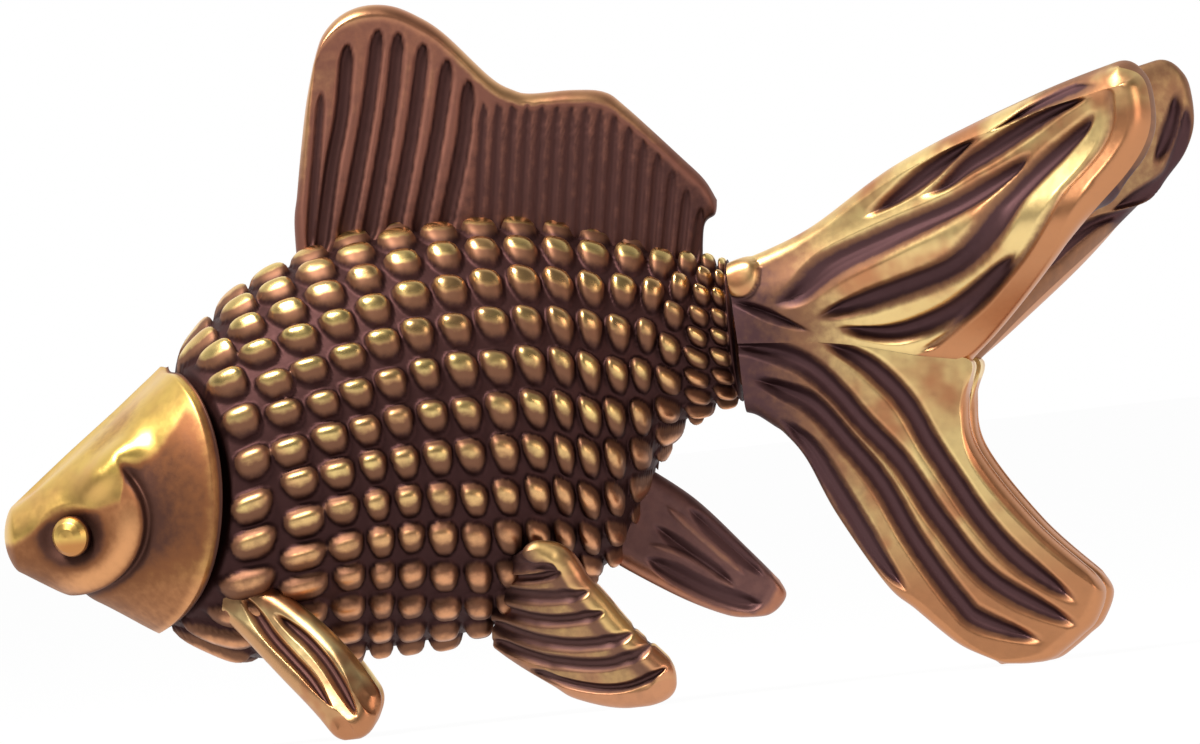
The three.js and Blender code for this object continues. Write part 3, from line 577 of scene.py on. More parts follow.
# Dorsal fin: a tall plate set in a slot along the back, with slots sunk between thin rays.
# It is cast brass left mostly brown, with the upper rim rubbed to gold.
FIN_ALONG = 150
FIN_ACROSS = 170
FIN_THICKNESS = 1.3
FIN_SEAT_DEPTH = 1.3
DORSAL_TAIL_GAP = 1.05
DORSAL_BASE = 16.4
DORSAL_HEIGHT = 8.85
DORSAL_SEAT_TAPER = 0.6
DORSAL_FRONT = [(0.005, 0.02), (0.02, 0.165), (0.042, 0.368), (0.067, 0.574)]
DORSAL_RIM = [
    (0.096, 0.756), (0.126, 0.879), (0.175, 0.961), (0.235, 0.995), (0.302, 0.982), (0.365, 0.922),
    (0.428, 0.826), (0.529, 0.606), (0.582, 0.535), (0.625, 0.51), (0.728, 0.505), (0.806, 0.48),
    (0.856, 0.4), (0.978, 0.143), (1.029, 0.029), (1.055, -0.072),
]
DORSAL_BACK = [(1.016, -0.188), (1.047, -0.135)]
PHOTO_SCALE = 24.56  # pixels to a millimetre in the 1200 x 744 photograph
PHOTO_ORIGIN = (641.4, 705.5)  # pixel at which the middle of the ground under the figure lies
GROUND_TILT = math.radians(6.34)  # the ground rises to the right in the photograph
DORSAL_SLOTS = [  # pixels of the photograph, from the rim down
    [(348, 40), (342, 111), (331, 172), (319, 262)],
    [(379, 25), (370, 97), (358, 167), (341, 255)],
    [(399, 28), (392, 97), (381, 167), (366, 250)],
    [(424, 39), (416, 106), (406, 167), (390, 247)],
    [(448, 55), (441, 111), (431, 167), (416, 245)],
    [(469, 76), (465, 125), (458, 167), (442, 243)],
]
DORSAL_SLOT_WIDTH = 0.4
DORSAL_SLOT_DEPTH = 0.3
DORSAL_LINE_WIDTH = 0.28
DORSAL_LINE_DEPTH = 0.16
DORSAL_FRONT_LINE = [(322, 88), (316, 167), (309, 255)]
DORSAL_LINE_TOPS = [(484, 98), (594, 101), (617, 110), (663, 153), (702, 203)]  # along the rear of the rim
DORSAL_LINE_COUNT = 16
DORSAL_LINE_LEAN = 9
DORSAL_LINE_FOOT = 270
DORSAL_WEAR_BAND = (20, 27)  # heights over which wear grows towards the rim
DORSAL_REAR_BAND = (19, 23)  # lengths behind the nose over which it fades again


def closer_at_ends(count):
    """Shares from 0 to 1 that lie closer together towards both ends."""
    t = np.linspace(0, 1, count)
    return t / 2 + (1 - np.cos(np.pi * t)) / 4


def fin_sheet(root, rim, front, back, outward, front_lead=1):
    """Middle of a left fin: a patch blended between four edge curves in side view, moved out by outward.

    The two straight blends between facing edges are added, and the blend of the four corners taken off.
    A front lead under 1 crowds the front edge's points towards the rim."""
    along = closer_at_ends(FIN_ALONG)
    across = closer_at_ends(FIN_ACROSS)
    u = along[:, None, None]
    s = across[None, :, None]
    root = spline(root, across)[None]
    rim = spline(rim, across)[None]
    front = spline(front, along**front_lead)[:, None]
    back = spline(back, along)[:, None]
    corners = (1 - u) * ((1 - s) * root[:, :1] + s * root[:, -1:])
    corners = corners + u * ((1 - s) * rim[:, :1] + s * rim[:, -1:])
    flat = (1 - u) * root + u * rim + (1 - s) * front + s * back - corners
    away = np.broadcast_to(outward(u[..., 0], s[..., 0]), flat.shape[:2])
    return np.stack([flat[..., 0], -away, flat[..., 1]], axis=-1)


def photo_pixels(points):
    """Columns and lines of the photograph, seen square from the fish's left, at points in mm."""
    x = points[..., 0] + nose_x / MM
    z = points[..., 2]
    right = PHOTO_ORIGIN[0] + PHOTO_SCALE * (x * np.cos(GROUND_TILT) - z * np.sin(GROUND_TILT))
    down = PHOTO_ORIGIN[1] - PHOTO_SCALE * (x * np.sin(GROUND_TILT) + z * np.cos(GROUND_TILT))
    return right, down


def groove_closeness(sheet, lines, width, end=1.6):
    """1 along each groove's line, falling evenly to 0 at its width in mm, and fading out over its ends.

    The depth fades over an end in mm, and the width tapers over twice that. The lines are smooth curves
    through pixels of the photograph, laid on the sheet from the side."""
    right, down = photo_pixels(sheet)
    closeness = np.zeros(sheet.shape[:2])
    for line in lines:
        gap, share = distance_to_curve(right, down, line)
        length = np.linalg.norm(np.diff(line, axis=0), axis=1).sum() / PHOTO_SCALE
        to_end = np.minimum(share, 1 - share) * length
        fade = smoothstep(to_end, 0, end)
        taper = 0.45 + 0.55 * smoothstep(to_end, 0, 2 * end)
        closeness = np.maximum(closeness, fade * (1 - gap / PHOTO_SCALE / (width * taper)))
    return closeness


def sunk(closeness):
    """Depth, 0 to 1, of a groove between rounded ridges."""
    return smoothstep(closeness, 0, 0.9)


def tarnish(closeness):
    """Share of patina in a groove: a brown film up its sides, and a dark core along its floor."""
    return 0.42 * smoothstep(closeness, 0, 0.35) + 0.58 * smoothstep(closeness, 0.3, 0.75)


def edge_distances(sheet):
    """Distances in mm, along the sheet, from its rim, front and back edges."""
    along = np.linalg.norm(np.diff(sheet, axis=0, prepend=sheet[:1]), axis=-1).cumsum(axis=0)
    across = np.linalg.norm(np.diff(sheet, axis=1, prepend=sheet[:, :1]), axis=-1).cumsum(axis=1)
    return along[-1:] - along, across, across[:, -1:] - across


def rounded(sheet, half, radii=None):
    """Half thickness, closing in a quarter round along rim, front and back, of its own or given radii."""
    radii = radii or [half] * 3
    for distance, radius in zip(edge_distances(sheet), radii):
        half = half * np.sqrt(1 - (1 - np.clip(distance / radius, 0, 1)) ** 2)
    return half


def both_faces(left, right):
    """Values per point of the sheet for its left and right face, as rings from root to rim."""
    return np.concatenate([left, right[:, -2:0:-1]], axis=1)


def fin_rings(sheet, left_half, right_half):
    """Left and right face of a fin, each half a thickness away square to the sheet, above the ground."""
    square = np.cross(np.gradient(sheet, axis=0), np.gradient(sheet, axis=1))
    square /= np.linalg.norm(square, axis=-1, keepdims=True)
    half = np.maximum(both_faces(left_half, right_half), 0.02)
    rings = both_faces(sheet, sheet) + both_faces(-square, square) * half[..., None]
    rings[:, [0, sheet.shape[1] - 1]] = sheet[:, [0, -1]]
    rings[..., 2] = np.maximum(rings[..., 2], 0)
    return rings


def placed(start_x, length, base_z, height, *outlines):
    """Outlines whose points were shares of a length from start_x and of a height from base_z."""
    return [[(start_x + length * x, base_z + height * z) for x, z in points] for points in outlines]


def four_edges(root, front, tip, back):
    """Root, rim, front and back curves of a fin that share their corner points."""
    return root, tip, [root[0], *front, tip[0]], [root[-1], *back, tip[-1]]


def dorsal_edges():
    """Root sunk below the back line, less so towards the tail, and the rim's outline over it."""
    start = BODY_LENGTH - DORSAL_TAIL_GAP - DORSAL_BASE
    share = np.linspace(0, 1, 5)
    x = start + DORSAL_BASE * share
    seat = SCALE_HEIGHT + FIN_SEAT_DEPTH * (1 - DORSAL_SEAT_TAPER * share)
    z = BELLY_HEIGHT + BODY_DEPTH * smooth_curve(x / BODY_LENGTH, BACK_LINE) - seat
    outlines = DORSAL_FRONT, DORSAL_RIM, DORSAL_BACK
    above = placed(start, DORSAL_BASE, BELLY_HEIGHT + BODY_DEPTH, DORSAL_HEIGHT, *outlines)
    return four_edges(list(zip(x, z)), *above)


sheet = fin_sheet(*dorsal_edges(), outward=lambda u, s: 0)
slots = smoothstep(groove_closeness(sheet, DORSAL_SLOTS, DORSAL_SLOT_WIDTH, 0.5), 0, 0.7)
line_right = np.linspace(DORSAL_LINE_TOPS[0][0], DORSAL_LINE_TOPS[-1][0], DORSAL_LINE_COUNT)
line_top = np.interp(line_right, *zip(*DORSAL_LINE_TOPS))
rear_lines = [
    [(right, top), (right - DORSAL_LINE_LEAN, DORSAL_LINE_FOOT)] for right, top in zip(line_right, line_top)
]
all_lines = [DORSAL_FRONT_LINE, *rear_lines]
lines = smoothstep(groove_closeness(sheet, all_lines, DORSAL_LINE_WIDTH, 0.5), 0, 0.8)
from_rim, from_front, _ = edge_distances(sheet)
border = 1 - smoothstep(np.minimum(from_rim, from_front), 0.35, 0.8)
half = rounded(sheet, FIN_THICKNESS / 2)
half = half - 0.08 * (1 - border) * smoothstep(half, 0.3, 0.6)
half = half - DORSAL_SLOT_DEPTH * slots - DORSAL_LINE_DEPTH * lines
relief = np.clip(0.62 + 0.4 * border - 0.7 * slots - 0.5 * lines, 0, 1)
relief *= 0.45 + 0.55 * smoothstep(sheet[..., 2], *DORSAL_WEAR_BAND)
relief *= 1 - 0.4 * smoothstep(sheet[..., 0], *DORSAL_REAR_BAND) * (1 - border)
fit(
    skin("dorsal_plate", fin_rings(sheet, half, half), {"relief": both_faces(relief, relief)}),
    "dorsal_fin",
    brass_material(
        "dorsal_brass", patina=(82, 55, 52), brown=(136, 91, 78), rubbed=(216, 166, 118),
        copper=(194, 134, 102), worn=(0.5, 1.0),
    ),
)

# Pectoral fins: the two front feet, leaf-shaped plates set in slots behind the gill cover.
# They are rubbed bright, with two grooves and a tip that stands on the ground; the tip and the back
# edge are tinted copper as a painted reflection of the floor.
FIN_CREASE = math.radians(70)
PECTORAL_LENGTH = 5.2
PECTORAL_RISE = 4.45
PECTORAL_SPLAY = 3.4
PECTORAL_ROOT = [(0, 1), (-0.06, 0.72)]
PECTORAL_FRONT = [(0.4, 0.84), (0.8, 0.53)]
PECTORAL_TIP = [(0.98, 0.23), (1, 0.12), (0.93, 0.035), (0.82, 0.01), (0.69, 0.06)]
PECTORAL_BACK = [(0.32, 0.36)]
PECTORAL_GROOVE_WIDTH = 0.38
PECTORAL_GROOVE_DEPTH = 0.34
PECTORAL_GROOVES = [  # pixels of the photograph, from the root out
    [(246, 592), (261, 612), (278, 638), (296, 659), (314, 680), (328, 703), (336, 718)],
    [(279, 612), (294, 624), (314, 641), (332, 662), (347, 686), (359, 710), (364, 722)],
]


def flank_width(point):
    """Distance from the middle plane to the trunk's side at an (x, z) point."""
    return -flank_point(*point)[1]


def pair_of_fins(ending, sheet, outer, inner, material, place=lambda points: points):
    """The left fin and its mirror image, each moved to its place, with crisp edges where they turn sharply.

    Outer and inner hold the half thickness and the marks of the two faces."""
    for hand, side in (("left_", 1), ("right_", -1)):
        left, right = (outer, inner)[::side]
        rings = fin_rings(place(sheet * np.array([1, side, 1])), left["half"], right["half"])
        marks = {mark: both_faces(left[mark], right[mark]) for mark in ("relief", "copper_reflection_and_tint")}
        piece = skin(hand + ending + "_plate", rings, marks)
        piece.data.set_sharp_from_angle(angle=FIN_CREASE)
        fit(piece, hand + ending, material)


outlines = PECTORAL_ROOT, PECTORAL_FRONT, PECTORAL_TIP, PECTORAL_BACK
edges = four_edges(*placed(HEAD_LENGTH, PECTORAL_LENGTH, 0, BELLY_HEIGHT + PECTORAL_RISE, *outlines))
root_away = flank_width(edges[0][0]) - SCALE_HEIGHT - FIN_SEAT_DEPTH
sheet = fin_sheet(*edges, outward=lambda u, s: root_away + PECTORAL_SPLAY * u)
grooves = groove_closeness(sheet, PECTORAL_GROOVES, PECTORAL_GROOVE_WIDTH, 0.8)
from_rim, _, from_back = edge_distances(sheet)
tip = 1 - smoothstep(from_rim, 0.3, 1.2)
band = 1 - smoothstep(from_back, 0.4, 0.8)
face = {
    "half": rounded(sheet, FIN_THICKNESS / 2) - PECTORAL_GROOVE_DEPTH * sunk(grooves),
    "relief": 0.95 - tarnish(grooves),
    # Copper on the tip and back edge: a painted reflection of the floor.
    "copper_reflection_and_tint": np.maximum(tip, 0.8 * band),
}
pair_of_fins(
    "pectoral_fin",
    sheet,
    face,
    face,
    brass_material(
        "pectoral_brass", patina=(94, 64, 60), brown=(166, 120, 86), rubbed=(250, 222, 160),
        copper=(186, 128, 90), worn=(0.4, 0.95),
    ),
)

# Pelvic fins: the two middle feet, rayed plates set in slots low on the flanks.
# Seven curved grooves fan out from the root, and the front rim is rubbed to gold.
PELVIC_TAIL_GAP = 10.8
PELVIC_LENGTH = 6.7
PELVIC_RISE = 4.05
PELVIC_SPLAY = 2.8
PELVIC_ROOT = [(0.05, 0.95), (0, 0.42)]
PELVIC_TIP = [
    (0.2, 0.98), (0.3, 0.99), (0.4, 0.975), (0.47, 0.925), (0.515, 0.85), (0.546, 0.79), (0.648, 0.66),
    (0.737, 0.532), (0.833, 0.409), (0.931, 0.314), (0.997, 0.23), (1, 0.15), (0.96, 0.065),
]
PELVIC_BACK = [
    (0.067, 0.35), (0.163, 0.267), (0.3, 0.165), (0.4, 0.09), (0.576, 0.025), (0.727, 0), (0.863, 0.01),
]
PELVIC_GROOVE_WIDTH = 0.36
PELVIC_GROOVE_DEPTH = 0.24
PELVIC_FINE_WIDTH = 0.28
PELVIC_GROOVES = [  # pixels of the photograph, from the root out
    [(496, 568), (539, 571), (572, 566)],
    [(494, 583), (546, 591), (596, 587)],
    [(494, 600), (556, 614), (612, 607)],
    [(497, 616), (530, 629), (566, 637), (600, 637), (638, 630)],
    [(500, 634), (535, 648), (573, 656), (615, 656), (656, 642)],
    [(536, 667), (590, 683), (632, 683), (672, 663)],
]
PELVIC_FINE_GROOVE = [[(500, 565), (518, 557), (536, 554), (553, 557), (568, 570)]]

outlines = PELVIC_ROOT, [], PELVIC_TIP, PELVIC_BACK
pelvic_start = BODY_LENGTH - PELVIC_TAIL_GAP
edges = four_edges(*placed(pelvic_start, PELVIC_LENGTH, 0, BELLY_HEIGHT + PELVIC_RISE, *outlines))
top_away = flank_width(edges[0][0]) - SCALE_HEIGHT - FIN_SEAT_DEPTH
foot_x, foot_z = edges[0][-1]
foot_away = flank_width((foot_x, foot_z + 1)) - SCALE_HEIGHT - FIN_THICKNESS / 2


def pelvic_outward(u, s):
    """Follows the flank along the root, and is splayed evenly along the rim."""
    root = top_away * (1 - s) + foot_away * s
    return root * (1 - u) + (top_away + PELVIC_SPLAY) * u


sheet = fin_sheet(*edges, outward=pelvic_outward)
grooves = groove_closeness(sheet, PELVIC_GROOVES, PELVIC_GROOVE_WIDTH, 0.4)
grooves = np.maximum(grooves, 0.8 * groove_closeness(sheet, PELVIC_FINE_GROOVE, PELVIC_FINE_WIDTH, 0.4))
from_rim, _, from_back = edge_distances(sheet)
border = 1 - smoothstep(from_rim, 0.3, 0.6)
# The sole along the bottom edge is lighter and tinted copper: a painted reflection of the floor.
sole = 1 - smoothstep(from_back, 0.5, 1.2)
inside = bell(from_rim - 0.85, 0.3) * (1 - sole)
worn = 0.75 + 0.25 * smoothstep(sheet[..., 0], edges[0][0][0], edges[0][0][0] + 3)
face = {
    "half": rounded(sheet, FIN_THICKNESS / 2) - PELVIC_GROOVE_DEPTH * sunk(grooves) - 0.06 * inside,
    "relief": (0.74 + 0.2 * sole - 0.3 * inside - tarnish(grooves)) * worn + 0.4 * border,
    "copper_reflection_and_tint": sole,
}
pair_of_fins(
    "pelvic_fin",
    sheet,
    face,
    face,
    brass_material(
        "pelvic_brass", patina=(98, 70, 67), brown=(132, 96, 78), rubbed=(230, 190, 126),
        copper=(206, 146, 108), worn=(0.5, 1.05),
    ),
)

# Anal fin: one leaf-shaped plate under the tail's root, drooping to the rear, in a slot in the belly.
# It is brass that lies in the body's shade, which is painted into it as low wear and dark colours,
# and its edges are tinted copper as a painted reflection of the floor.
ANAL_TAIL_GAP = 4.6
ANAL_LENGTH = 6.6
ANAL_WIDTH = 3.8
ANAL_DROOP = math.radians(35)
ANAL_ROOT = [(-0.2, 0.5), (-0.2, -0.55)]
ANAL_FRONT = [(0.23, 0.445), (0.684, 0.239)]
ANAL_TIP = [(0.93, 0.115), (1.008, 0.02), (1.012, -0.13), (0.975, -0.27), (0.9, -0.37)]
ANAL_BACK = [(0.083, -0.575), (0.48, -0.556), (0.765, -0.48)]
ANAL_GROOVE_WIDTH = 0.55
ANAL_GROOVE_DEPTH = 0.28
ANAL_FINE_WIDTH = 0.42
ANAL_RIDGE_WIDTH = 0.26
ANAL_RIDGE_RISE = 0.07
ANAL_GROOVES = [  # pixels of the photograph, from the root out
    [(643, 556), (679, 576), (715, 594), (749, 603), (767, 602)],
]
ANAL_FINE_GROOVES = [[(650, 522), (690, 553), (738, 587)], [(684, 505), (730, 546), (768, 580)]]
ANAL_RIDGES = [[(645, 543), (692, 560), (738, 592)], [(663, 503), (692, 530), (747, 578)]]


def drooped(points):
    """Shares of the fin's length and width, turned down about the middle of its root on the belly line."""
    start = BODY_LENGTH - ANAL_TAIL_GAP
    root_z = BELLY_HEIGHT + BODY_DEPTH * smooth_curve(start / BODY_LENGTH, BELLY_LINE)
    along, across = np.array(points, float).T * np.array([[ANAL_LENGTH], [ANAL_WIDTH]])
    x = start + along * np.cos(ANAL_DROOP) + across * np.sin(ANAL_DROOP)
    z = root_z - along * np.sin(ANAL_DROOP) + across * np.cos(ANAL_DROOP)
    return list(zip(x, z))


edges = four_edges(*(drooped(points) for points in (ANAL_ROOT, ANAL_FRONT, ANAL_TIP, ANAL_BACK)))
sheet = fin_sheet(*edges, outward=lambda u, s: 0)
grooves = groove_closeness(sheet, ANAL_GROOVES, ANAL_GROOVE_WIDTH, 0.8)
grooves = np.maximum(grooves, 0.6 * groove_closeness(sheet, ANAL_FINE_GROOVES, ANAL_FINE_WIDTH, 0.8))
ridges = sunk(groove_closeness(sheet, ANAL_RIDGES, ANAL_RIDGE_WIDTH, 0.6))
from_rim, _, from_back = edge_distances(sheet)
half = rounded(sheet, FIN_THICKNESS / 2) - ANAL_GROOVE_DEPTH * sunk(grooves) + ANAL_RIDGE_RISE * ridges
border = 1 - smoothstep(np.minimum(from_back, from_rim), 0.3, 0.9)
# The low base and the dark colours are painted shade from the body; the copper edges are a painted
# reflection of the floor.
relief = 0.3 + 0.5 * border + 0.35 * ridges - 0.6 * tarnish(grooves)
marks = {"relief": both_faces(relief, relief), "copper_reflection_and_tint": both_faces(border, border)}
fit(
    skin("anal_plate", fin_rings(sheet, half, half), marks),
    "anal_fin",
    brass_material(
        "anal_brass_painted_shade", patina=(98, 70, 70), brown=(134, 97, 91), rubbed=(206, 150, 108),
        copper=(196, 132, 98), worn=(0.5, 1.0),
    ),
)

# Tail root: a core blade pegged into the body, between the tail lobes that are soldered to it.
# Hardly any of it shows, so it keeps its brown patina.
TAIL_THICKNESS = 1.3
TAIL_RIM_THICKNESS = 1.9
TAIL_ROOT_OFFSET = 1.6
TAIL_CREST_OFFSET = 1.15
TAIL_SEAM_DROP = 0.55
TAIL_CORE_COVER = 0.85
TAIL_CORE_LENGTH = 7
TAIL_CORE_TENON = 2.6
TAIL_CORE_DROP = 0.8
TAIL_CORE_STATIONS = 60
TAIL_CORE_AROUND = 60

tail_middle, tail_half_depth, _ = trunk_section(np.array(BODY_LENGTH))
tail_seam_height = float(tail_middle) - TAIL_SEAM_DROP


def swung(points):
    """Turned towards the fish's left about the upright line where the tail begins."""
    x = points[..., 0] - BODY_LENGTH
    y = points[..., 1]
    turned_x = BODY_LENGTH + x * np.cos(TAIL_SWING) + y * np.sin(TAIL_SWING)
    turned_y = y * np.cos(TAIL_SWING) - x * np.sin(TAIL_SWING)
    return np.stack([turned_x, turned_y, points[..., 2]], axis=-1)


def tail_core_rings():
    """Upright ellipses from the peg to behind the lobes' roots, shrinking to half, closed at both ends."""
    share = np.linspace(0, 1, TAIL_CORE_STATIONS)[:, None]
    turn = np.linspace(0, 2 * np.pi, TAIL_CORE_AROUND, endpoint=False)[None, :]
    ends = np.sqrt(np.clip(1 - np.abs(2 * share - 1) ** 6, 0.0001, 1))
    half_width = (TAIL_ROOT_OFFSET - TAIL_THICKNESS / 2 - CLEARANCE) * ends
    half_height = (tail_half_depth - SCALE_HEIGHT - TAIL_CORE_COVER) * ends * (1 - share / 2)
    x = BODY_LENGTH - TAIL_CORE_TENON + (TAIL_CORE_LENGTH + TAIL_CORE_TENON) * share
    y = -half_width * np.sin(turn)
    z = tail_seam_height - TAIL_CORE_DROP * share + half_height * np.cos(turn)
    return swung(np.stack(np.broadcast_arrays(x, y, z), axis=-1))


fit(
    skin("tail_core", tail_core_rings(), {"relief": 0.3}),
    "tail_root",
    brass_material(
        "tail_core_brass", patina=(56, 34, 34), brown=(110, 70, 52), rubbed=(200, 150, 90),
        copper=(190, 126, 84), worn=(0.5, 1.0),
    ),
)

# Upper tail lobes: two long plates soldered to the core's sides, splayed apart towards their tips.
# Deep curved grooves run along the outer faces, and a smooth bevelled band follows the rear edge.
UPPER_LOBE_LENGTH = 18.4
UPPER_LOBE_RISE = 9.4
UPPER_LOBE_SPLAY = 7
UPPER_LOBE_FLARE = 1.3
TAIL_SEAM = [(0, 0), (0.21, -0.4), (0.4, -1.3), (0.51, -1.7)]
SEAM_HALF_GAP = -0.012
SEAM_ROUND = 0.015
UPPER_ROOT_TOP = (0, 0.34)
UPPER_FRONT = [(0.18, 0.457), (0.41, 0.7), (0.72, 0.904)]
UPPER_TIP = [
    (0.94, 1), (0.984, 0.96), (1, 0.88), (0.995, 0.72), (0.945, 0.564), (0.825, 0.351), (0.64, 0.043),
]
UPPER_GROOVES = [  # pixels of the photograph, from the root out
    [(868, 222), (902, 199), (934, 174), (965, 149), (992, 130)],
    [(925, 203), (949, 189), (974, 167), (1002, 149), (1059, 111), (1102, 93)],
    [(770, 305), (800, 294), (840, 266), (902, 238), (965, 211), (1015, 178), (1045, 150)],
    [(810, 313), (840, 303), (902, 281), (959, 258), (1002, 224), (1043, 180), (1090, 130), (1106, 106)],
    [(830, 318), (865, 326), (900, 325), (940, 309), (970, 290), (1000, 263), (1028, 237)],
]
UPPER_FINE_GROOVES = [
    [(988, 133), (1027, 109), (1065, 90), (1108, 75)],
    [(725, 301), (755, 308), (785, 317), (820, 329)],
]
UPPER_INNER_GROOVES = [  # on the inner face of the far lobe, where it shows beside the near one
    [(1171, 88), (1171, 110), (1166, 127), (1157, 145), (1146, 160)],
    [(1183, 100), (1181, 127), (1173, 150), (1162, 170), (1140, 185), (1118, 198), (1104, 210)],
    [(1168, 175), (1142, 203), (1120, 217), (1095, 230), (1070, 252), (1050, 272), (1030, 292)],
]
UPPER_GROOVE_WIDTH = 0.64
UPPER_FINE_WIDTH = 0.4
UPPER_INNER_WIDTH = 0.5
UPPER_INNER_DEPTH = 0.3
TAIL_GROOVE_DEPTH = 0.45
TAIL_ROUND = 0.6
CREST_ROUND = 0.7
TAIL_WEAR_AND_SHADE_REACH = 6.5
UPPER_BAND_TIP = 0.95
UPPER_BAND_NOTCH = 2.3
ROOT_BEAD = (744, 278)  # pixel of the photograph at the middle of the bead on the root's crest
ROOT_BEAD_RADIUS = 0.9
ROOT_BEAD_RISE = 0.42
tail_start = BODY_LENGTH + CLEARANCE


def tail_seam(gap):
    """Line between an upper and a lower lobe, moved up by a gap."""
    return [(tail_start + UPPER_LOBE_LENGTH * x, tail_seam_height + z + gap) for x, z in TAIL_SEAM]


def upper_outward(u, s):
    """Near the core along the root and the seam, and splayed by a power of the way out along the crest."""
    root = TAIL_ROOT_OFFSET - (TAIL_ROOT_OFFSET - TAIL_CREST_OFFSET) * (1 - s) ** 2
    return root + UPPER_LOBE_SPLAY * u**UPPER_LOBE_FLARE * smoothstep(1 - s, 0, 0.6)


def tail_half_thickness(sheet):
    """Half thickness growing evenly with the distance behind the tail's root."""
    share = (sheet[..., 0] - tail_start) / UPPER_LOBE_LENGTH
    return (TAIL_THICKNESS * (1 - share) + TAIL_RIM_THICKNESS * share) / 2


def tail_wear_and_root_shade(sheet):
    """Share of wear, with painted shade from the body at the tail's root: 0.15 there, rising in a smooth S.
    """
    return 0.15 + 0.85 * smoothstep(sheet[..., 0] - tail_start, 0, TAIL_WEAR_AND_SHADE_REACH)


seam = tail_seam(SEAM_HALF_GAP)
outlines = [UPPER_ROOT_TOP], UPPER_FRONT, UPPER_TIP
root, front, tip = placed(tail_start, UPPER_LOBE_LENGTH, tail_seam_height, UPPER_LOBE_RISE, *outlines)
edges = four_edges([*root, seam[0]], front, [*tip, seam[-1]], seam[1:-1])
sheet = fin_sheet(*edges, outward=upper_outward)
grooves = groove_closeness(swung(sheet), UPPER_GROOVES, UPPER_GROOVE_WIDTH)
fine_grooves = groove_closeness(swung(sheet), UPPER_FINE_GROOVES, UPPER_FINE_WIDTH)
grooves = np.maximum(grooves, 0.8 * fine_grooves)
from_rim, from_front, from_back = edge_distances(sheet)
band = UPPER_BAND_TIP + (UPPER_BAND_NOTCH - UPPER_BAND_TIP) * closer_at_ends(FIN_ACROSS) ** 0.6
band_line = np.clip(1 - np.abs(from_rim - band) / 0.35, 0, 1)
band_line = band_line * smoothstep(from_front, 0.5, 1.5) * smoothstep(from_back, 0.2, 1)
half = rounded(sheet, tail_half_thickness(sheet), [TAIL_ROUND, CREST_ROUND, SEAM_ROUND])
right, down = photo_pixels(swung(sheet))
from_bead = np.hypot(right - ROOT_BEAD[0], down - ROOT_BEAD[1]) / PHOTO_SCALE / ROOT_BEAD_RADIUS
bead = np.sqrt(np.clip(1 - from_bead**4, 0, 1))
worn = np.maximum(tail_wear_and_root_shade(sheet), 1 - smoothstep(from_front, 0.4, 1.1))
relief = (0.92 - tarnish(grooves) - 0.45 * band_line) * worn
outer = {
    "half": half - TAIL_GROOVE_DEPTH * sunk(grooves) - 0.14 * sunk(band_line) + ROOT_BEAD_RISE * bead,
    "relief": np.maximum(relief, smoothstep(bead, 0.1, 0.7)),
    # Copper along the rear band: a painted reflection of the floor.
    "copper_reflection_and_tint": (1 - smoothstep(from_rim - band, -0.15, 0.1)) * smoothstep(from_front, 1, 2.5),
}
far_sheet = swung(sheet * np.array([1, -1, 1]))
grooves = groove_closeness(far_sheet, UPPER_INNER_GROOVES, UPPER_INNER_WIDTH, 0.8)
inner = {
    "half": half - UPPER_INNER_DEPTH * sunk(grooves),
    "relief": 0.55 - 0.6 * tarnish(grooves),
    # Copper along the inner face's rim: a painted reflection of the floor.
    "copper_reflection_and_tint": 1 - smoothstep(from_rim, 0.3, 0.6),
}
tail_brass = brass_material(
    "tail_brass", patina=(90, 64, 66), brown=(144, 104, 80), rubbed=(247, 215, 148),
    copper=(200, 139, 97), worn=(0.4, 0.95), polish=0.36,
)
pair_of_fins("upper_tail_lobe", sheet, outer, inner, tail_brass, place=swung)

# Lower tail lobes: two rayed plates under the upper ones that stand on the ground as the rear feet.
# Four long grooves follow their bend, and the ends are smooth; the low part and the rear edge are
# tinted copper as a painted reflection of the floor.
LOWER_LOBE_LENGTH = 13.8
LOWER_LOBE_CLOSING = 0.2
LOWER_ROOT_FOOT = (0, 0.802)
LOWER_NOTCH_SIDE = [(0.66, 0.78), (0.669, 0.634), (0.813, 0.408)]
LOWER_TIP = [
    (0.971, 0.239), (0.998, 0.177), (0.962, 0.1), (0.915, 0.063), (0.866, 0.03), (0.825, 0.007),
    (0.785, 0), (0.726, 0.002), (0.667, 0.017),
]
LOWER_BACK = [
    (0.03, 0.79), (0.073, 0.757), (0.107, 0.727), (0.16, 0.65), (0.23, 0.486), (0.353, 0.27),
    (0.433, 0.188), (0.54, 0.083), (0.624, 0.033),
]
LOWER_GROOVES = [  # pixels of the photograph, from the root out
    [
        (815, 338), (859, 358), (887, 380), (909, 405), (930, 441), (956, 480), (984, 520), (1022, 560),
        (1084, 604),
    ],
    [
        (720, 343), (775, 352), (809, 366), (837, 391), (864, 422), (902, 462), (942, 520), (995, 580),
        (1086, 627),
    ],
    [
        (745, 375), (785, 390), (815, 405), (848, 441), (882, 482), (916, 540), (960, 600), (984, 620),
        (1050, 642),
    ],
    [(775, 413), (808, 443), (832, 480), (857, 520), (882, 560), (914, 597)],
]
LOWER_GROOVE_WIDTH = 0.62
LOWER_BAND = 0.9
NOTCH_BAND = (10.5, 12)  # heights over which the free rear edge turns into the seam
# The copper over these heights is a painted reflection of the floor.
FOOT_BAND = (3, 8)  # heights over which the end's copper colour fades

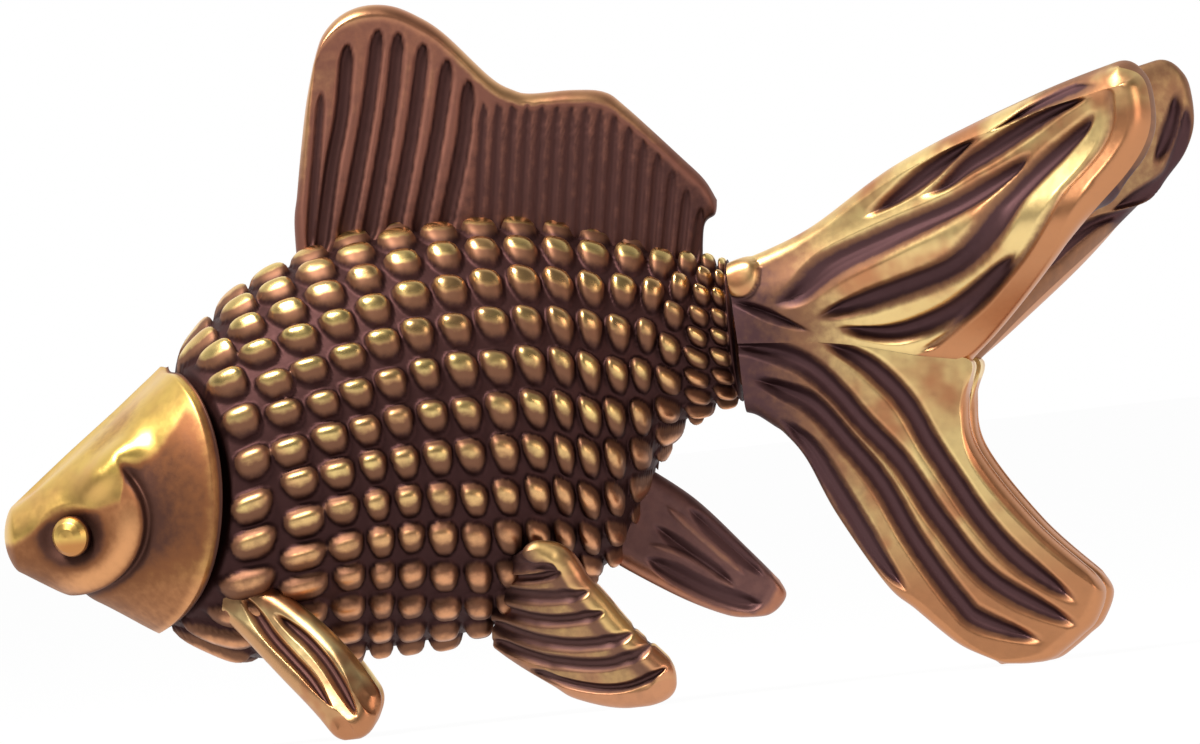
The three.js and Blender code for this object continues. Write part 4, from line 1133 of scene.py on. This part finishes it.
seam = tail_seam(-SEAM_HALF_GAP)
outlines = [LOWER_ROOT_FOOT], LOWER_NOTCH_SIDE, LOWER_TIP, LOWER_BACK
root, notch_side, tip, back = placed(tail_start, LOWER_LOBE_LENGTH, 0, tail_seam_height, *outlines)
sheet = fin_sheet(
    *four_edges([seam[0], *root], [*seam[1:], *notch_side], tip, back),
    outward=lambda u, s: TAIL_ROOT_OFFSET - LOWER_LOBE_CLOSING * u * smoothstep(s, 0, 0.6),
    front_lead=0.7,
)
grooves = groove_closeness(swung(sheet), LOWER_GROOVES, LOWER_GROOVE_WIDTH)
_, from_front, _ = edge_distances(sheet)
notch = smoothstep(sheet[..., 2], *NOTCH_BAND)
front_round = SEAM_ROUND * notch + TAIL_ROUND * (1 - notch)
half = rounded(sheet, tail_half_thickness(sheet), [TAIL_ROUND, front_round, TAIL_ROUND])
rear_edge = np.clip(1 - from_front / LOWER_BAND, 0, 1) * (1 - notch)
face = {
    "half": half - TAIL_GROOVE_DEPTH * sunk(grooves) - 0.3 * rear_edge * smoothstep(half, 0.1, 0.5),
    "relief": (0.9 - tarnish(grooves)) * tail_wear_and_root_shade(sheet),
    # Copper at the foot and rear edge: a painted reflection of the floor.
    "copper_reflection_and_tint": np.maximum(1 - smoothstep(sheet[..., 2], *FOOT_BAND), smoothstep(rear_edge, 0.02, 0.2)),
}
pair_of_fins("lower_tail_lobe", sheet, face, face, tail_brass, place=swung)

# Floor: a plain pale sheet under the feet, which is no part of the object.
# It shows as white, sends up even light and keeps the figure's shadow.
FLOOR_REACH = 3.0
FLOOR_WHITE = 0.97
floor_mesh = bpy.data.meshes.new("floor")
floor_mesh.from_pydata(
    [(x * FLOOR_REACH, y * FLOOR_REACH, 0) for x, y in ((-1, -1), (1, -1), (1, 1), (-1, 1))],
    [],
    [(0, 1, 2, 3)],
)
floor = bpy.data.objects.new("floor", floor_mesh)
bpy.context.scene.collection.objects.link(floor)
floor_material = bpy.data.materials.new("pale_floor")
floor_material.use_nodes = True
floor.data.materials.append(floor_material)


def background_rays(tree, path):
    """1 for rays that look at the background: from the camera, off gloss or through glass."""
    mirrored = math_output(tree, "MAXIMUM", path["Is Glossy Ray"], path["Is Transmission Ray"])
    return math_output(tree, "MAXIMUM", path["Is Camera Ray"], mirrored)


tree = floor_material.node_tree
matt = tree.nodes["Principled BSDF"]
matt.inputs["Base Color"].default_value = (0.9, 0.9, 0.9, 1)
matt.inputs["Roughness"].default_value = 0.9
glow = added(tree, "Emission", {})
path = added(tree, "LightPath", {}).outputs
share = math_output(tree, "MULTIPLY", background_rays(tree, path), FLOOR_WHITE)
mix = added(tree, "MixShader", {"Fac": share, 1: matt.outputs[0], 2: glow.outputs[0]})
tree.links.new(mix.outputs["Shader"], tree.nodes["Material Output"].inputs["Surface"])

# Background and room: white to the camera on every side, and white in reflections behind the figure.
# The rest of the room, which the metal also mirrors, is dimmer overhead and darkest behind the camera.
ROOM_DIM = 0.12
ROOM_BRIGHT = 0.9
BACKDROP_FROM = 0.5  # how far a ray points to the back where the backdrop begins, and where it is white
BACKDROP_TO = 0.8
LAMP_AIM = (0, 0, 0.012)
world = bpy.data.worlds.new("studio")
bpy.context.scene.world = world
world.use_nodes = True
tree = world.node_tree
direction = added(tree, "TexCoord", {}).outputs["Generated"]
to_back = added(tree, "SeparateXYZ", {0: direction}).outputs["Y"]
room = tree.nodes["Background"]
room_light = range_output(tree, to_back, -0.3, 0.7, ROOM_DIM, ROOM_BRIGHT, "LINEAR")
tree.links.new(room_light, room.inputs["Color"])
white = added(tree, "Background", {"Color": (1, 1, 1, 1)})
path = added(tree, "LightPath", {}).outputs
backdrop = range_output(tree, to_back, BACKDROP_FROM, BACKDROP_TO, blend="LINEAR")
mirrored = math_output(tree, "MULTIPLY", background_rays(tree, path), backdrop)
share = math_output(tree, "MAXIMUM", path["Is Camera Ray"], mirrored)
sky = added(tree, "MixShader", {"Fac": share, 1: room.outputs[0], 2: white.outputs[0]})
tree.links.new(sky.outputs["Shader"], tree.nodes["World Output"].inputs["Surface"])


def softbox(name, place, size, watts, colour):
    """Square area lamp at a place in metres, turned to face the middle of the figure."""
    lamp = bpy.data.lights.new(name, "AREA")
    lamp.size = size
    lamp.energy = watts
    lamp.color = colour
    lamp_object = bpy.data.objects.new(name, lamp)
    aim = Vector(LAMP_AIM) - Vector(place)
    lamp_object.location = place
    lamp_object.rotation_euler = aim.to_track_quat("-Z", "Y").to_euler()
    lamp_object.visible_camera = False
    bpy.context.scene.collection.objects.link(lamp_object)


softbox("key", place=(-0.26, -0.24, 0.47), size=0.2, watts=5.6, colour=(1, 0.98, 0.93))
softbox("fill", place=(0.4, -0.36, 0.06), size=0.3, watts=0.8, colour=(1, 0.82, 0.72))

# Camera: square to the fish's left side at its own height, from far away, as the photograph seems taken.
# It is rolled so that the ground rises to the right.
PHOTO_WIDTH = 48.86 * MM
CAMERA_DISTANCE = 1.1
CAMERA_AIM = (-0.18 * MM, 13.68 * MM)
camera_data = bpy.data.cameras.new("camera")
camera_data.sensor_width = 36
camera_data.lens = camera_data.sensor_width * CAMERA_DISTANCE / PHOTO_WIDTH
camera = bpy.data.objects.new("camera", camera_data)
upright = Matrix.Rotation(math.radians(90), 4, "X")
place = Matrix.Translation((CAMERA_AIM[0], middle_y - CAMERA_DISTANCE, CAMERA_AIM[1]))
camera.matrix_world = place @ upright @ Matrix.Rotation(-GROUND_TILT, 4, "Z")
bpy.context.scene.collection.objects.link(camera)
bpy.context.scene.camera = camera

bpy.context.scene.view_settings.view_transform = "Standard"
